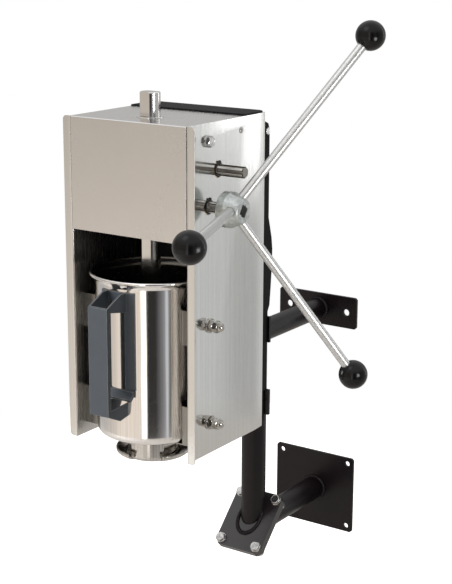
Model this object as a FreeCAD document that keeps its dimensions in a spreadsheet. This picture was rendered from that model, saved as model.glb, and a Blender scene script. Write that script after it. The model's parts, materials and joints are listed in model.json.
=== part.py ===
import FreeCAD, Part
import math
import os
import Sketcher

# Hand cranked churro maker on a wall bracket, in millimetres.
# Origin: centre of the lower wall plate, on the wall face. +X to the crank side, +Y into the wall, +Z up.
# A "reach" is a distance out from the wall, so its place along Y is minus the reach.

V = FreeCAD.Vector
doc = FreeCAD.newDocument("churro_maker")
sheet = doc.addObject("Spreadsheet::Sheet", "Sizes")

DRIVING_SIZES = [
    # wall bracket
    ("lower_plate_width", 188, "lower wall plate, across"),
    ("lower_plate_height", 166, "lower wall plate, up"),
    ("lower_hole_across", 160, "screw holes of the lower plate, across"),
    ("lower_hole_up", 140, "screw holes of the lower plate, up"),
    ("lower_hole_radius", 5.5, "screw hole of the lower plate"),
    ("upper_plate_width", 184, "upper wall plate, across"),
    ("upper_plate_height", 66, "upper wall plate, up"),
    ("upper_plate_rise", 398.5, "centre of the upper wall plate above the lower one"),
    ("upper_hole_across", 136, "screw holes of the upper plate, across"),
    ("upper_hole_radius", 7, "screw hole of the upper plate"),
    ("plate_gauge", 6, "thickness of wall plates and post plates"),
    ("tube_radius", 24.15, "post and lower tube, outside"),
    ("tube_wall", 2.9, "wall of the bracket tubes"),
    ("upper_tube_radius", 21.2, "upper tube, outside"),
    ("post_reach", 245.5, "post axis out from the wall"),
    ("post_top", 452, "upper end of the post"),
    ("mitre_half_width", 53, "half width of the sloping flange"),
    ("mitre_half_length", 65, "half length of the sloping flange along its slope"),
    ("mitre_gauge", 8, "thickness of each sloping flange"),
    ("mitre_top", 22.5, "upper face of the flange pair above the axes' crossing"),
    ("mitre_corner", 10, "corner cut of the sloping flange"),
    ("mitre_bolt_across", 82, "flange bolts, across"),
    ("mitre_bolt_along", 104, "flange bolts, along the slope"),
    ("post_plate_width", 104, "plates on the front of the post, across"),
    ("post_plate_height", 51, "plates on the front of the post, up"),
    ("upper_post_plate", 422, "centre of the upper post plate"),
    ("lower_post_plate", 276, "centre of the lower post plate"),
    ("post_plate_bolt", 34, "post plate bolt off the middle"),
    # body
    ("body_width", 245, "over the two side panels"),
    ("panel_gauge", 2, "side panel sheet"),
    ("panel_foot", 281, "lower end of the side panels"),
    ("body_top", 856, "top of cover and side panels"),
    ("body_reach", 641, "front face out from the wall"),
    ("panel_rear_reach", 405, "rear edge of the side panels"),
    ("panel_bend_reach", 435, "start of the inward strip at the rear edge"),
    ("panel_bend_in", 2.5, "how far the rear strip leans in"),
    ("flange_width", 14.6, "outward front flange of a side panel"),
    ("flange_end_round", 7, "rounded ends of the front flange"),
    ("cover_gauge", 1.5, "front cover sheet"),
    ("cover_foot", 661, "lower edge of the front cover"),
    ("cover_rear_reach", 471, "rear edge of the cover's top, front of the casting"),
    ("cover_lip_front", 24, "side lip behind the cover's front"),
    ("cover_lip_foot", 812, "lower edge of the side lip under the cover's top"),
    ("cover_hem", 11, "return along the cover's lower edge"),
    ("casting_wall", 10, "front wall of the rear casting"),
    ("casting_hollow", 6, "hollow in the front of the casting's lower wall, which clears the rim"),
    ("casting_hollow_top", 655, "upper end of that hollow"),
    ("casting_side", 6, "side walls of the rear casting"),
    ("casting_foot", 283, "lower end of the rear casting"),
    ("casting_cap", 3, "cap of the rear casting above the panels"),
    ("spine_half_width", 48, "half width of the spine column"),
    ("spine_wall", 5, "walls of the spine column"),
    ("spine_top", 822, "upper end of the spine"),
    ("spine_foot", 303, "lower end of the spine column"),
    ("spine_tongue_foot", 238, "lower end of the spine's tongue"),
    # gearbox
    ("floor_low", 664, "under side of the gearbox floor"),
    ("floor_gauge", 8, "gearbox floor"),
    ("gear_plate_gauge", 10, "gear plates"),
    ("left_plate_x", -42, "left face of the left gear plate"),
    ("middle_plate_x", 32, "left face of the middle gear plate"),
    ("right_plate_x", 109, "left face of the right gear plate"),
    ("gear_plate_top", 836, "upper edge of the gear plates"),
    ("crank_reach", 579, "crank shaft axis out from the wall"),
    ("crank_height", 716.2, "crank shaft axis above the origin"),
    ("shaft_offset", 28, "pinion shaft behind the crank shaft"),
    ("shaft_radius", 10, "journals of both shafts"),
    ("running_gap", 0.05, "radial clearance of a running fit"),
    ("bush_radius", 13, "outside of the shaft bushes"),
    ("bush_flange", 16, "flange of the shaft bushes"),
    ("gear_module", 2.5, "module of the reduction gears"),
    ("drive_teeth", 13, "teeth of the drive gear"),
    ("large_teeth", 39, "teeth of the large gear"),
    ("rack_module", 3, "module of rack and pinion"),
    ("pinion_teeth", 12, "teeth of the rack pinion"),
    ("pressure_angle", 25, "pressure angle of all teeth, degrees"),
    ("tooth_thinning", 0.14, "taken off each tooth flank for backlash"),
    ("spline_root", 8, "root radius of the shaft splines"),
    ("spline_width", 4, "width of one spline"),
    ("shaft_end", 176, "outer end of both shafts"),
    # ram
    ("ram_reach", 576, "axis of rod, piston and cylinder out from the wall"),
    ("rod_radius", 17.5, "round of the rack rod"),
    ("rod_top", 899, "upper end of the rack rod"),
    ("rod_shoulder", 400, "shoulder of the rack rod on the piston"),
    ("rod_front_flat", 14.7, "front flat out from the rod axis"),
    ("rod_rear_flat", 10, "toothed flat behind the rod axis"),
    ("rack_spaces", 35, "tooth spaces of the rack"),
    ("piston_foot", 356, "under side of the piston"),
    ("piston_gauge", 28, "thickness of the piston disc"),
    ("piston_radius", 94.5, "piston disc"),
    ("seal_gap", 0.35, "seal to cylinder wall"),
    # cylinder
    ("cylinder_radius", 98, "cylinder, outside"),
    ("cylinder_wall", 1.5, "cylinder sheet"),
    ("cylinder_foot", 303, "under side of the cylinder"),
    ("cylinder_corner", 12, "rounded lower edge of the cylinder"),
    ("rim_top", 593, "top of the rolled rim"),
    ("rim_bead", 3.2, "radius of the rolled rim"),
    ("rim_flare", 13.1, "radius of the flare below the rolled rim"),
    ("neck_radius", 52, "outlet neck, outside"),
    ("neck_bore", 38, "outlet neck, bore"),
    ("neck_foot", 256, "lower end of the outlet neck"),
    ("wing_radius", 66, "tips of the bayonet wings"),
    ("wing_middle", 23.5, "middle of the right wing, from +X toward +Y, degrees"),
    ("wing_span", 124, "span of each wing, degrees"),
    ("handle_half_width", 20, "half width of the cylinder handle"),
    ("handle_reach", 150, "front of the handle off the cylinder axis"),
    ("handle_gauge", 3, "handle wall"),
    ("strap_half_width", 34, "half width of the handle's back strap"),
    ("strap_gauge", 2.5, "thickness of the back strap"),
    ("upper_support", 511, "bolt height of the upper supports"),
    ("lower_support", 338, "bolt height of the lower supports"),
    ("support_half_depth", 38, "half depth of a support"),
    ("support_tip", 91.3, "tips of a support off the mid plane"),
    # crank
    ("arm_convergence", 169.4, "where the arm axes meet on the crank axis"),
    ("arm_length", 364, "arm convergence to knob centre"),
    ("arm_tilt", 24.35, "arms lean outward, degrees"),
    ("arm_phase", 57.2, "first arm from +Y toward +Z, degrees"),
    ("arm_radius", 8, "crank arm rod"),
    ("arm_start", 17, "inner end of an arm off the convergence point"),
    ("knob_radius", 25, "ball knob"),
    ("hub_back", 154, "rear face of the hub"),
    ("hub_front", 192, "front face of the hub"),
    ("hub_radius", 30.5, "round of the hub"),
    ("hub_front_radius", 20.3, "front face of the hub"),
    ("socket_half", 8.5, "half side of the square socket"),
    ("socket_depth", 14, "depth of the square socket"),
]

for row, (alias, value, meaning) in enumerate(DRIVING_SIZES, start=1):
    sheet.set(f"A{row}", meaning)
    sheet.set(f"B{row}", str(value))
    sheet.setAlias(f"B{row}", alias)
doc.recompute()


class Size:
    """A length that carries its number and the sheet formula that gives it."""

    def __init__(self, number, formula):
        self.number = float(number)
        self.formula = formula

    def __add__(self, other):
        return Size(self.number + number(other), f"({self.formula} + {formula(other)})")

    def __radd__(self, other):
        return Size(number(other) + self.number, f"({formula(other)} + {self.formula})")

    def __sub__(self, other):
        return Size(self.number - number(other), f"({self.formula} - {formula(other)})")

    def __rsub__(self, other):
        return Size(number(other) - self.number, f"({formula(other)} - {self.formula})")

    def __mul__(self, other):
        return Size(self.number * number(other), f"({self.formula} * {formula(other)})")

    __rmul__ = __mul__

    def __truediv__(self, other):
        return Size(self.number / number(other), f"({self.formula} / {formula(other)})")

    def __neg__(self):
        return Size(-self.number, f"(0 - {self.formula})")


def number(value):
    return value.number if isinstance(value, Size) else float(value)


def fixed(value):
    """A plain length as a Size, for places that no other size sets."""
    return Size(value, repr(float(value)))


def formula(value):
    return value.formula if isinstance(value, Size) else repr(float(value))


class SheetReader:
    """Gives a cell of the sheet as a Size, by its alias."""

    def __getattr__(self, alias):
        return Size(float(sheet.get(alias)), f"Sizes.{alias}")


s = SheetReader()


def bind(thing, prop, value):
    """Sets a property from a size and ties it to the size's formula."""
    if isinstance(value, Size):
        thing.setExpression(prop, value.formula)


def point(x, y, z):
    return V(number(x), number(y), number(z))


def place(thing, x=0, y=0, z=0, turn=None):
    """Placement of a sub-part, its base tied to the sheet."""
    thing.Placement = FreeCAD.Placement(point(x, y, z), turn or FreeCAD.Rotation())
    for axis, value in zip("xyz", (x, y, z)):
        bind(thing, f"Placement.Base.{axis}", value)
    return thing


ROLES = {"XY": "XY_Plane", "XZ": "XZ_Plane", "YZ": "YZ_Plane"}
cut_checks = []


class Piece:
    """A PartDesign body made of pads and cuts between two heights on its own origin planes."""

    def __init__(self, label):
        self.body = doc.addObject("PartDesign::Body", label)
        self.body.Label = label
        self.steps = 0

    def sketch(self, plane, height, outlines, circles):
        self.steps += 1
        sketch = self.body.newObject("Sketcher::SketchObject", f"{self.body.Name}_sketch_{self.steps}")
        origin_plane = next(p for p in self.body.Origin.OriginFeatures if p.Role == ROLES[plane])
        sketch.AttachmentSupport = [(origin_plane, "")]
        sketch.MapMode = "FlatFace"
        sketch.AttachmentOffset = FreeCAD.Placement(V(0, 0, number(height)), FreeCAD.Rotation())
        bind(sketch, "AttachmentOffset.Base.z", height)
        for corners in outlines:
            draw_outline(sketch, corners)
        for across, up, radius in circles:
            draw_circle(sketch, across, up, radius)
        return sketch

    def step(self, kind, plane, low, high, outlines, circles):
        """The XZ plane faces -Y, so there the sketch sits at the high end."""
        start = -high if plane == "XZ" else low
        sketch = self.sketch(plane, start, outlines, circles)
        feature = self.body.newObject(f"PartDesign::{kind}", f"{self.body.Name}_{kind}_{self.steps}")
        feature.Profile = sketch
        feature.Length = number(high - low)
        if isinstance(high - low, Size):
            bind(feature, "Length", high - low)
        sketch.Visibility = False
        return feature

    def pad(self, plane, low, high, outlines=(), circles=()):
        self.step("Pad", plane, low, high, outlines, circles)
        return self

    def cut(self, plane, low, high, outlines=(), circles=()):
        base = self.body.Tip
        feature = self.step("Pocket", plane, low, high, outlines, circles)
        feature.Reversed = True
        cut_checks.append((base, feature))
        return self

    def turn(self, corners, axis="H_Axis"):
        """Revolves an outline of the XZ plane about the local X (H) or Z (V) axis."""
        sketch = self.sketch("XZ", 0, [corners], [])
        feature = self.body.newObject("PartDesign::Revolution", f"{self.body.Name}_turn_{self.steps}")
        feature.Profile = sketch
        feature.ReferenceAxis = (sketch, [axis])
        feature.Angle = 360
        sketch.Visibility = False
        return self

    def ease(self, kind, size, spots):
        """Fillet or Chamfer on the edges whose middle lies at the given spots; None matches anything."""
        doc.recompute()
        base = self.body.Tip
        names = [
            f"Edge{index}"
            for index, edge in enumerate(base.Shape.Edges, start=1)
            if any(matches(edge.CenterOfMass, spot) for spot in spots)
        ]
        if not names:
            raise RuntimeError(f"{self.body.Label}: no edge to ease at {spots}")
        self.steps += 1
        feature = self.body.newObject(f"PartDesign::{kind}", f"{self.body.Name}_{kind}_{self.steps}")
        feature.Base = (base, names)
        setattr(feature, "Radius" if kind == "Fillet" else "Size", number(size))
        bind(feature, "Radius" if kind == "Fillet" else "Size", size)
        return self


def matches(centre, spot):
    return all(want is None or abs(have - number(want)) < 0.06 for have, want in zip(centre, spot))


def hold(sketch, kind, geometry, spot, value):
    """Distance of a sketch point from the sketch's origin, tied to the sheet."""
    index = sketch.addConstraint(Sketcher.Constraint(kind, -1, 1, geometry, spot, number(value)))
    bind(sketch, f"Constraints[{index}]", value)


def draw_outline(sketch, corners):
    """Closed outline of straight runs, every corner held by its two distances from the origin."""
    first = sketch.GeometryCount
    spots = [V(number(across), number(up), 0) for across, up in corners]
    count = len(spots)
    for index, spot in enumerate(spots):
        sketch.addGeometry(Part.LineSegment(spot, spots[(index + 1) % count]), False)
    for index in range(count):
        following = first + (index + 1) % count
        sketch.addConstraint(Sketcher.Constraint("Coincident", first + index, 2, following, 1))
    for index, (across, up) in enumerate(corners):
        hold(sketch, "DistanceX", first + index, 1, across)
        hold(sketch, "DistanceY", first + index, 1, up)


def draw_circle(sketch, across, up, radius):
    centre = V(number(across), number(up), 0)
    index = sketch.addGeometry(Part.Circle(centre, V(0, 0, 1), number(radius)), False)
    hold(sketch, "DistanceX", index, 3, across)
    hold(sketch, "DistanceY", index, 3, up)
    size = sketch.addConstraint(Sketcher.Constraint("Radius", index, number(radius)))
    bind(sketch, f"Constraints[{size}]", radius)


def box_corners(low_across, high_across, low_up, high_up):
    return [(low_across, low_up), (high_across, low_up), (high_across, high_up), (low_across, high_up)]


def feature(label, shape, x=0, y=0, z=0, turn=None):
    """A sub-part whose solid is worked out from the sheet's sizes."""
    thing = doc.addObject("Part::Feature", label)
    thing.Label = label
    thing.Shape = shape
    place(thing, x, y, z, turn)
    return thing


def cylinder(label, radius, length, x=0, y=0, z=0, turn=None):
    thing = doc.addObject("Part::Cylinder", label)
    thing.Label = label
    thing.Radius, thing.Height = number(radius), number(length)
    bind(thing, "Radius", radius)
    bind(thing, "Height", length)
    return place(thing, x, y, z, turn)


def boolean(label, kind, base, tool):
    """Part::Cut, Part::Fuse or Part::Common of two objects, as the sub-part named by the label."""
    thing = doc.addObject(f"Part::{kind}", label)
    thing.Label = label
    thing.Base = base
    thing.Tool = tool
    return thing


SUB_PARTS = []


def keep(thing):
    SUB_PARTS.append(thing.body if isinstance(thing, Piece) else thing)
    return thing


TO_X = FreeCAD.Rotation(V(0, 1, 0), 90)
TO_LEFT = FreeCAD.Rotation(V(0, 1, 0), -90)
TO_FRONT = FreeCAD.Rotation(V(1, 0, 0), 90)
TO_WALL = FreeCAD.Rotation(V(1, 0, 0), -90)


# Fastener shapes: the seat is at the origin, the head stands along +Z and the shank runs along -Z.


class Thread:
    """Sizes that go with one metric thread, and the holes that it runs in."""

    def __init__(self, shank, across_flats, head, nut):
        self.shank = shank
        self.across_flats = across_flats
        self.head = head
        self.nut = nut
        self.nut_bore = shank + 0.02
        self.tapped = shank + 0.05
        self.washer_bore = shank + 0.1
        self.hole = shank + 0.2


M5 = Thread(2.5, 8, 2.2, 4)
M6 = Thread(3, 10, 4, 5)
M8 = Thread(4, 13, 5.3, 6.5)
M10 = Thread(5, 17, 6.4, 8)
M12 = Thread(6, 19, 5, 8)
M20 = Thread(10, 30, 12.5, 14)
PAN_RADIUS = 4.8
WASHER_GAUGE = 2


def round_bar(radius, low, high):
    return Part.makeCylinder(number(radius), number(high - low), V(0, 0, number(low)))


def hexagon(across_flats, low, high):
    corner = across_flats / math.sqrt(3)
    angles = [math.radians(turn) for turn in range(0, 420, 60)]
    spots = [V(corner * math.cos(angle), corner * math.sin(angle), low) for angle in angles]
    return Part.Face(Part.makePolygon(spots)).extrude(V(0, 0, high - low))


def hex_bolt(thread, length):
    """Hexagon head with its rounded-off top corners, on a plain shank."""
    half, head = thread.across_flats / 2, thread.head
    dome = Part.makeCone(half + head, half * 0.95, head)
    bolt = hexagon(thread.across_flats, 0, head).common(dome).fuse(round_bar(thread.shank, -length, 0))
    return bolt.removeSplitter()


def hex_nut(thread):
    return hexagon(thread.across_flats, 0, thread.nut).cut(round_bar(thread.nut_bore, -1, thread.nut + 1))


def dome_nut(thread, depth, height):
    """Cap nut: a hexagon foot under a half ball, blind inside."""
    foot = height * 0.45
    ball = thread.across_flats / 2 * 0.94
    above_foot = Part.makeBox(60, 60, 60, V(-30, -30, foot))
    dome = Part.makeSphere(ball, V(0, 0, height - ball)).common(above_foot)
    column = round_bar(ball, 0, max(foot, height - ball))
    nut = hexagon(thread.across_flats, 0, foot).fuse(column).fuse(dome).removeSplitter()
    return nut.cut(round_bar(thread.nut_bore, -1, depth))


def washer(bore, radius, height):
    return round_bar(radius, 0, height).cut(round_bar(bore, -1, height + 1))


def pan_screw(thread, length, radius):
    """Low domed head with its recess left out, on a plain shank."""
    head = thread.head
    ball = (radius * radius + head * head) / (2 * head)
    above_seat = Part.makeBox(40, 40, 20, V(-20, -20, 0))
    dome = Part.makeSphere(ball, V(0, 0, head - ball)).common(above_seat)
    return dome.fuse(round_bar(thread.shank, -length, 0))


def group(label, *kinds):
    """Like fasteners as one sub-part. Each kind is a shape and its seats, a seat a place and a rotation."""
    copies = []
    for shape, seats in kinds:
        for x, y, z, turn in seats:
            copy = shape.copy()
            copy.Placement = FreeCAD.Placement(point(x, y, z), turn)
            copies.append(copy)
    return keep(feature(label, Part.makeCompound(copies)))


# Derived places
half_body = s.body_width / 2
inner_half = half_body - s.panel_gauge
front = -s.body_reach
crank_y = -s.crank_reach
crank_z = s.crank_height
ram_y = -s.ram_reach
drive_pitch = s.gear_module * s.drive_teeth / 2
large_pitch = s.gear_module * s.large_teeth / 2
gear_centres = drive_pitch + large_pitch
shaft_y = crank_y + s.shaft_offset
shaft_z = Size(
    number(crank_z) + math.sqrt(number(gear_centres) ** 2 - number(s.shaft_offset) ** 2),
    f"({crank_z.formula} + sqrt({gear_centres.formula}^2 - {s.shaft_offset.formula}^2))",
)
mesh_direction = math.degrees(math.atan2(number(shaft_z - crank_z), number(s.shaft_offset)))

# Wall bracket: two wall plates, two tubes and a post, joined below by a bolted 45 degree flange.

CORNERS = [(across, up) for across in (-0.5, 0.5) for up in (-0.5, 0.5)]
PLATE_CHAMFER = 4


def wall_plate(label, width, height, rise, holes, hole_radius):
    """A flat plate on the wall with cut corners and screw holes."""
    plate = keep(Piece(label))
    outline = box_corners(-width / 2, width / 2, rise - height / 2, rise + height / 2)
    plate.pad("XZ", -s.plate_gauge, fixed(0), [outline])
    plate.cut("XZ", -s.plate_gauge, fixed(0), [], [(x, z, hole_radius) for x, z in holes])
    plate.ease("Chamfer", PLATE_CHAMFER, [(x * width, None, rise + z * height) for x, z in CORNERS])


wall_plate(
    "lower_wall_plate", s.lower_plate_width, s.lower_plate_height, fixed(0),
    [(x * s.lower_hole_across, z * s.lower_hole_up) for x, z in CORNERS], s.lower_hole_radius,
)
wall_plate(
    "upper_wall_plate", s.upper_plate_width, s.upper_plate_height, s.upper_plate_rise,
    [(x * s.upper_hole_across, s.upper_plate_rise) for x in (-0.5, 0.5)], s.upper_hole_radius,
)

MITRE_TURN = FreeCAD.Rotation(V(1, 0, 0), 45)
HALF_SPACE = 400
TUBE_OVERRUN = 60


def mitre_block(label, height, upper):
    """A large block on one side of the sloping flange, which trims a tube to the flange's face."""
    tool = doc.addObject("Part::Box", label)
    for prop in ("Length", "Width", "Height"):
        setattr(tool, prop, HALF_SPACE)
    low = number(height) if upper else number(height) - HALF_SPACE
    corner = MITRE_TURN.multVec(V(-HALF_SPACE / 2, -HALF_SPACE / 2, low))
    tool.Placement = FreeCAD.Placement(corner + V(0, -number(s.post_reach), 0), MITRE_TURN)
    return tool


def hollow_tube(label, radius, wall, length, x, y, z, turn=None):
    outside = cylinder(f"{label}_outside", radius, length, x, y, z, turn)
    inside = cylinder(f"{label}_inside", radius - wall, length, x, y, z, turn)
    return boolean(f"{label}_tube", "Cut", outside, inside)


lower_tube_length = s.post_reach - s.plate_gauge + TUBE_OVERRUN
keep(boolean(
    "lower_tube", "Cut",
    hollow_tube("lower_tube", s.tube_radius, s.tube_wall, lower_tube_length, 0, -s.plate_gauge, 0, TO_FRONT),
    mitre_block("lower_tube_trim", s.mitre_top - 2 * s.mitre_gauge, True),
))
post_length = s.post_top + TUBE_OVERRUN
keep(boolean(
    "post", "Cut",
    hollow_tube("post", s.tube_radius, s.tube_wall, post_length, 0, -s.post_reach, fixed(-TUBE_OVERRUN)),
    mitre_block("post_trim", s.mitre_top, False),
))
upper_tube_blank = hollow_tube(
    "upper_tube", s.upper_tube_radius, s.tube_wall, s.post_reach - s.plate_gauge,
    0, -s.plate_gauge, s.upper_plate_rise, TO_FRONT,
)
upper_tube_notch = cylinder("upper_tube_notch", s.tube_radius, s.post_top + 20, 0, -s.post_reach, 0)
keep(boolean("upper_tube", "Cut", upper_tube_blank, upper_tube_notch))


def mitre_flange(label, low):
    """One plate of the sloping joint: four cut corners and four bolt holes."""
    flange = keep(Piece(label))
    half_x, half_y, corner = s.mitre_half_width, s.mitre_half_length, s.mitre_corner
    near_x, near_y = half_x - corner, half_y - corner
    flange.pad("XY", low, low + s.mitre_gauge, [[
        (-near_x, -half_y), (near_x, -half_y), (half_x, -near_y), (half_x, near_y),
        (near_x, half_y), (-near_x, half_y), (-half_x, near_y), (-half_x, -near_y),
    ]])
    flange.cut("XY", low, low + s.mitre_gauge, [], [
        (x * s.mitre_bolt_across, y * s.mitre_bolt_along, M10.hole) for x, y in CORNERS
    ])
    place(flange.body, 0, -s.post_reach, 0, MITRE_TURN)


mitre_flange("upper_mitre_flange", s.mitre_top - s.mitre_gauge)
mitre_flange("lower_mitre_flange", s.mitre_top - 2 * s.mitre_gauge)


def mitre_seats(height, turn):
    seats = []
    for x, y in CORNERS:
        spot = MITRE_TURN.multVec(point(x * s.mitre_bolt_across, y * s.mitre_bolt_along, height))
        seats.append((spot.x, spot.y - number(s.post_reach), spot.z, MITRE_TURN.multiply(turn)))
    return seats


upright = FreeCAD.Rotation()
inverted = FreeCAD.Rotation(V(1, 0, 0), 180)
group(
    "flange_bolts",
    (hex_bolt(M10, 30), mitre_seats(s.mitre_top + WASHER_GAUGE, upright)),
    (washer(M10.hole, 10.5, WASHER_GAUGE), mitre_seats(s.mitre_top, upright)),
    (hex_nut(M10), mitre_seats(s.mitre_top - 2 * s.mitre_gauge, inverted)),
)


def post_plate(label, height):
    """Welded on the front of the post; the machine's spine bolts onto it."""
    plate = keep(Piece(label))
    rear = -s.post_reach - s.tube_radius
    plate_front = rear - s.plate_gauge
    half_x, half_z = s.post_plate_width / 2, s.post_plate_height / 2
    plate.pad("XZ", plate_front, rear, [box_corners(-half_x, half_x, height - half_z, height + half_z)])
    plate.cut("XZ", plate_front, rear, [], [(x * s.post_plate_bolt, height, M8.hole) for x in (-1, 1)])


post_plate("upper_post_plate", s.upper_post_plate)
post_plate("lower_post_plate", s.lower_post_plate)
spine_rear = -s.post_reach - s.tube_radius - s.plate_gauge

# Side panels: folded sheet with an outward front flange and a strip at the rear that leans in.

SCREW_SPOTS = [(-623.2, 832.1), (-483, 834.2)]
GUIDE_BOLT = (-582, 825.6)
SHAFT_OPENING = 13.5


def side_panel(label, side):
    panel = keep(Piece(label))
    x_in, x_out = side * inner_half, side * half_body
    flange_x = side * (half_body + s.flange_width)
    gauge = s.panel_gauge
    bend, rear = -s.panel_bend_reach, -s.panel_rear_reach
    lean = side * s.panel_bend_in
    panel.pad("XY", s.panel_foot, s.body_top, [[
        (x_in, front), (flange_x, front), (flange_x, front + gauge), (x_out, front + gauge),
        (x_out, bend), (x_out - lean, rear), (x_in - lean, rear), (x_in, bend),
    ]])
    if side > 0:
        low, high = x_in, x_out
    else:
        low, high = x_out, x_in
    holes = [(y, z, M5.hole) for y, z in SCREW_SPOTS] + [(*GUIDE_BOLT, M10.hole)]
    holes += [(ram_y, z, M12.hole) for z in (s.upper_support, s.lower_support)]
    if side > 0:
        holes += [(crank_y, crank_z, SHAFT_OPENING), (shaft_y, shaft_z, SHAFT_OPENING)]
    panel.cut("YZ", low, high, [], holes)
    panel.ease("Fillet", 3, [(x_in, front, None)])
    panel.ease("Fillet", s.flange_end_round, [(flange_x, None, z) for z in (s.panel_foot, s.body_top)])


side_panel("left_side_panel", -1)
side_panel("right_side_panel", 1)

# Front cover: one folded sheet with the front, the top, side lips inside the panels and a hem below.

cover_rear = -s.cover_rear_reach
gauge = s.cover_gauge
cover = keep(Piece("front_cover"))
cover.pad("YZ", -inner_half, inner_half, [box_corners(front, cover_rear, s.cover_foot, s.body_top)])
hem_rear = front + s.cover_hem
cover.cut("YZ", -inner_half + gauge, inner_half - gauge, [[
    (front + gauge, s.cover_foot + gauge), (hem_rear, s.cover_foot + gauge), (hem_rear, s.cover_foot),
    (cover_rear, s.cover_foot), (cover_rear, s.body_top - gauge), (front + gauge, s.body_top - gauge),
]])
lip_window = [box_corners(front + s.cover_lip_front, cover_rear, s.cover_foot, s.cover_lip_foot)]
cover.cut("YZ", -inner_half, -inner_half + gauge, lip_window)
cover.cut("YZ", inner_half - gauge, inner_half, lip_window)
lip_holes = [(y, z, M5.hole) for y, z in SCREW_SPOTS] + [(*GUIDE_BOLT, M10.hole)]
cover.cut("YZ", -inner_half, -inner_half + gauge, [], lip_holes)
cover.cut("YZ", inner_half - gauge, inner_half, [], lip_holes)
cover.cut("XY", s.body_top - gauge, s.body_top, [], [(0, ram_y, 23.2)])
cover.ease("Fillet", 2.4, [(0, front, s.body_top)])

group("cover_screws", (pan_screw(M5, 9, PAN_RADIUS), [
    (side * half_body, y, z, TO_X if side > 0 else TO_LEFT) for side in (-1, 1) for y, z in SCREW_SPOTS
]))

# Rear casting: a wall behind the cover with side cheeks, ribs and a cap over the panels' ends.

casting = keep(Piece("rear_casting"))
wall_rear = cover_rear + s.casting_wall
cheek_bend = -s.panel_bend_reach - 3
cheek_rear = fixed(-412)
cheek_in = inner_half - 3.2
hollow_x, cheek_hollow_x = inner_half - s.casting_side, cheek_in - s.casting_side
casting_right = [
    (inner_half, cover_rear), (inner_half, cheek_bend), (cheek_in, cheek_rear), (cheek_hollow_x, cheek_rear),
    (hollow_x, cheek_bend), (hollow_x, wall_rear),
]
casting_left = [(-x, y) for x, y in reversed(casting_right)]
casting.pad("XY", s.casting_foot, s.body_top, [casting_right + casting_left])
cap_rear = -s.panel_rear_reach
cap_top = s.body_top + s.casting_cap
CAP_CORNER, CAP_ROUND = 16, 2
casting.pad("XY", s.body_top, cap_top, [box_corners(-half_body, half_body, cover_rear, cap_rear)])
casting.ease("Fillet", CAP_CORNER, [(side * half_body, cap_rear, None) for side in (-1, 1)])
casting.ease("Fillet", CAP_ROUND, [(None, None, cap_top)])
RIB_HEIGHTS = (300, 440, 590, 740)
RIB_GAUGE, RIB_LOW_SIDE = 6, 8
rib_in = s.spine_half_width + 26
for height in RIB_HEIGHTS:
    for side in (-1, 1):
        near, far = side * rib_in, side * hollow_x
        casting.pad("XY", fixed(height), fixed(height + RIB_GAUGE), [[
            (near, wall_rear), (far, wall_rear), (far, cheek_bend), (near, wall_rear + RIB_LOW_SIDE),
        ]])

hollow_half = inner_half - 7.5
casting.cut("XZ", cover_rear, cover_rear + s.casting_hollow, [box_corners(
    -hollow_half, hollow_half, s.casting_foot + 9, s.casting_hollow_top
)])

# Spine: a hollow column on the casting's rear that carries the machine on the post plates.

spine = keep(Piece("spine"))
LUG = [(640, 0), (622, 5), (600, 11), (578, 14), (550, 13.5), (505, 10), (470, 6.3)]
lug_outline = [(spine_rear + out, fixed(z)) for z, out in LUG]
SPINE_CORNER = 16
cut = SPINE_CORNER * 0.3
spine.pad("YZ", -s.spine_half_width, s.spine_half_width, [[
    (wall_rear, s.spine_foot), (spine_rear, s.spine_foot), (spine_rear, s.post_top + 6),
    *reversed(lug_outline), (spine_rear, s.spine_top - SPINE_CORNER), (spine_rear - cut, s.spine_top - cut),
    (spine_rear - SPINE_CORNER, s.spine_top), (wall_rear, s.spine_top),
]])
spine.cut("YZ", -s.spine_half_width + s.spine_wall, s.spine_half_width - s.spine_wall, [box_corners(
    wall_rear, spine_rear - s.spine_wall, s.spine_foot + s.spine_wall, s.spine_top - s.spine_wall
)])
tongue_half = s.spine_half_width - 5
spine.pad("XZ", spine_rear - s.spine_wall, spine_rear, [box_corners(
    -tongue_half, tongue_half, s.spine_tongue_foot, s.spine_foot
)])
foot_reach = s.spine_half_width + 22
foot_low, foot_high = s.spine_foot + 27, s.spine_top - 27
spine.pad("XZ", wall_rear, wall_rear + s.spine_wall, [
    box_corners(s.spine_half_width, foot_reach, foot_low, foot_high),
    box_corners(-foot_reach, -s.spine_half_width, foot_low, foot_high),
])
SPINE_BOLT_HEIGHTS = (360, 560, 760)
spine_bolt_x = s.spine_half_width + 12
spine_seats = [(side * spine_bolt_x, z) for side in (-1, 1) for z in SPINE_BOLT_HEIGHTS]
spine_bolt_holes = [(x, z, M8.hole) for x, z in spine_seats]
spine.cut("XZ", wall_rear, wall_rear + s.spine_wall, [], spine_bolt_holes)
casting.cut("XZ", cover_rear, wall_rear, [], spine_bolt_holes)
post_plate_heights = (s.upper_post_plate, s.lower_post_plate)
plate_seats = [(side * s.post_plate_bolt, z) for side in (-1, 1) for z in post_plate_heights]
spine.cut("XZ", spine_rear - s.spine_wall, spine_rear, [], [(x, z, M8.hole) for x, z in plate_seats])
cross_y, cross_z = spine_rear - 12, s.spine_top - 18
spine.cut("YZ", -s.spine_half_width, -s.spine_half_width + s.spine_wall, [], [(cross_y, cross_z, M8.hole)])
spine.cut("YZ", s.spine_half_width - s.spine_wall, s.spine_half_width, [], [(cross_y, cross_z, M8.hole)])

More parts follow.
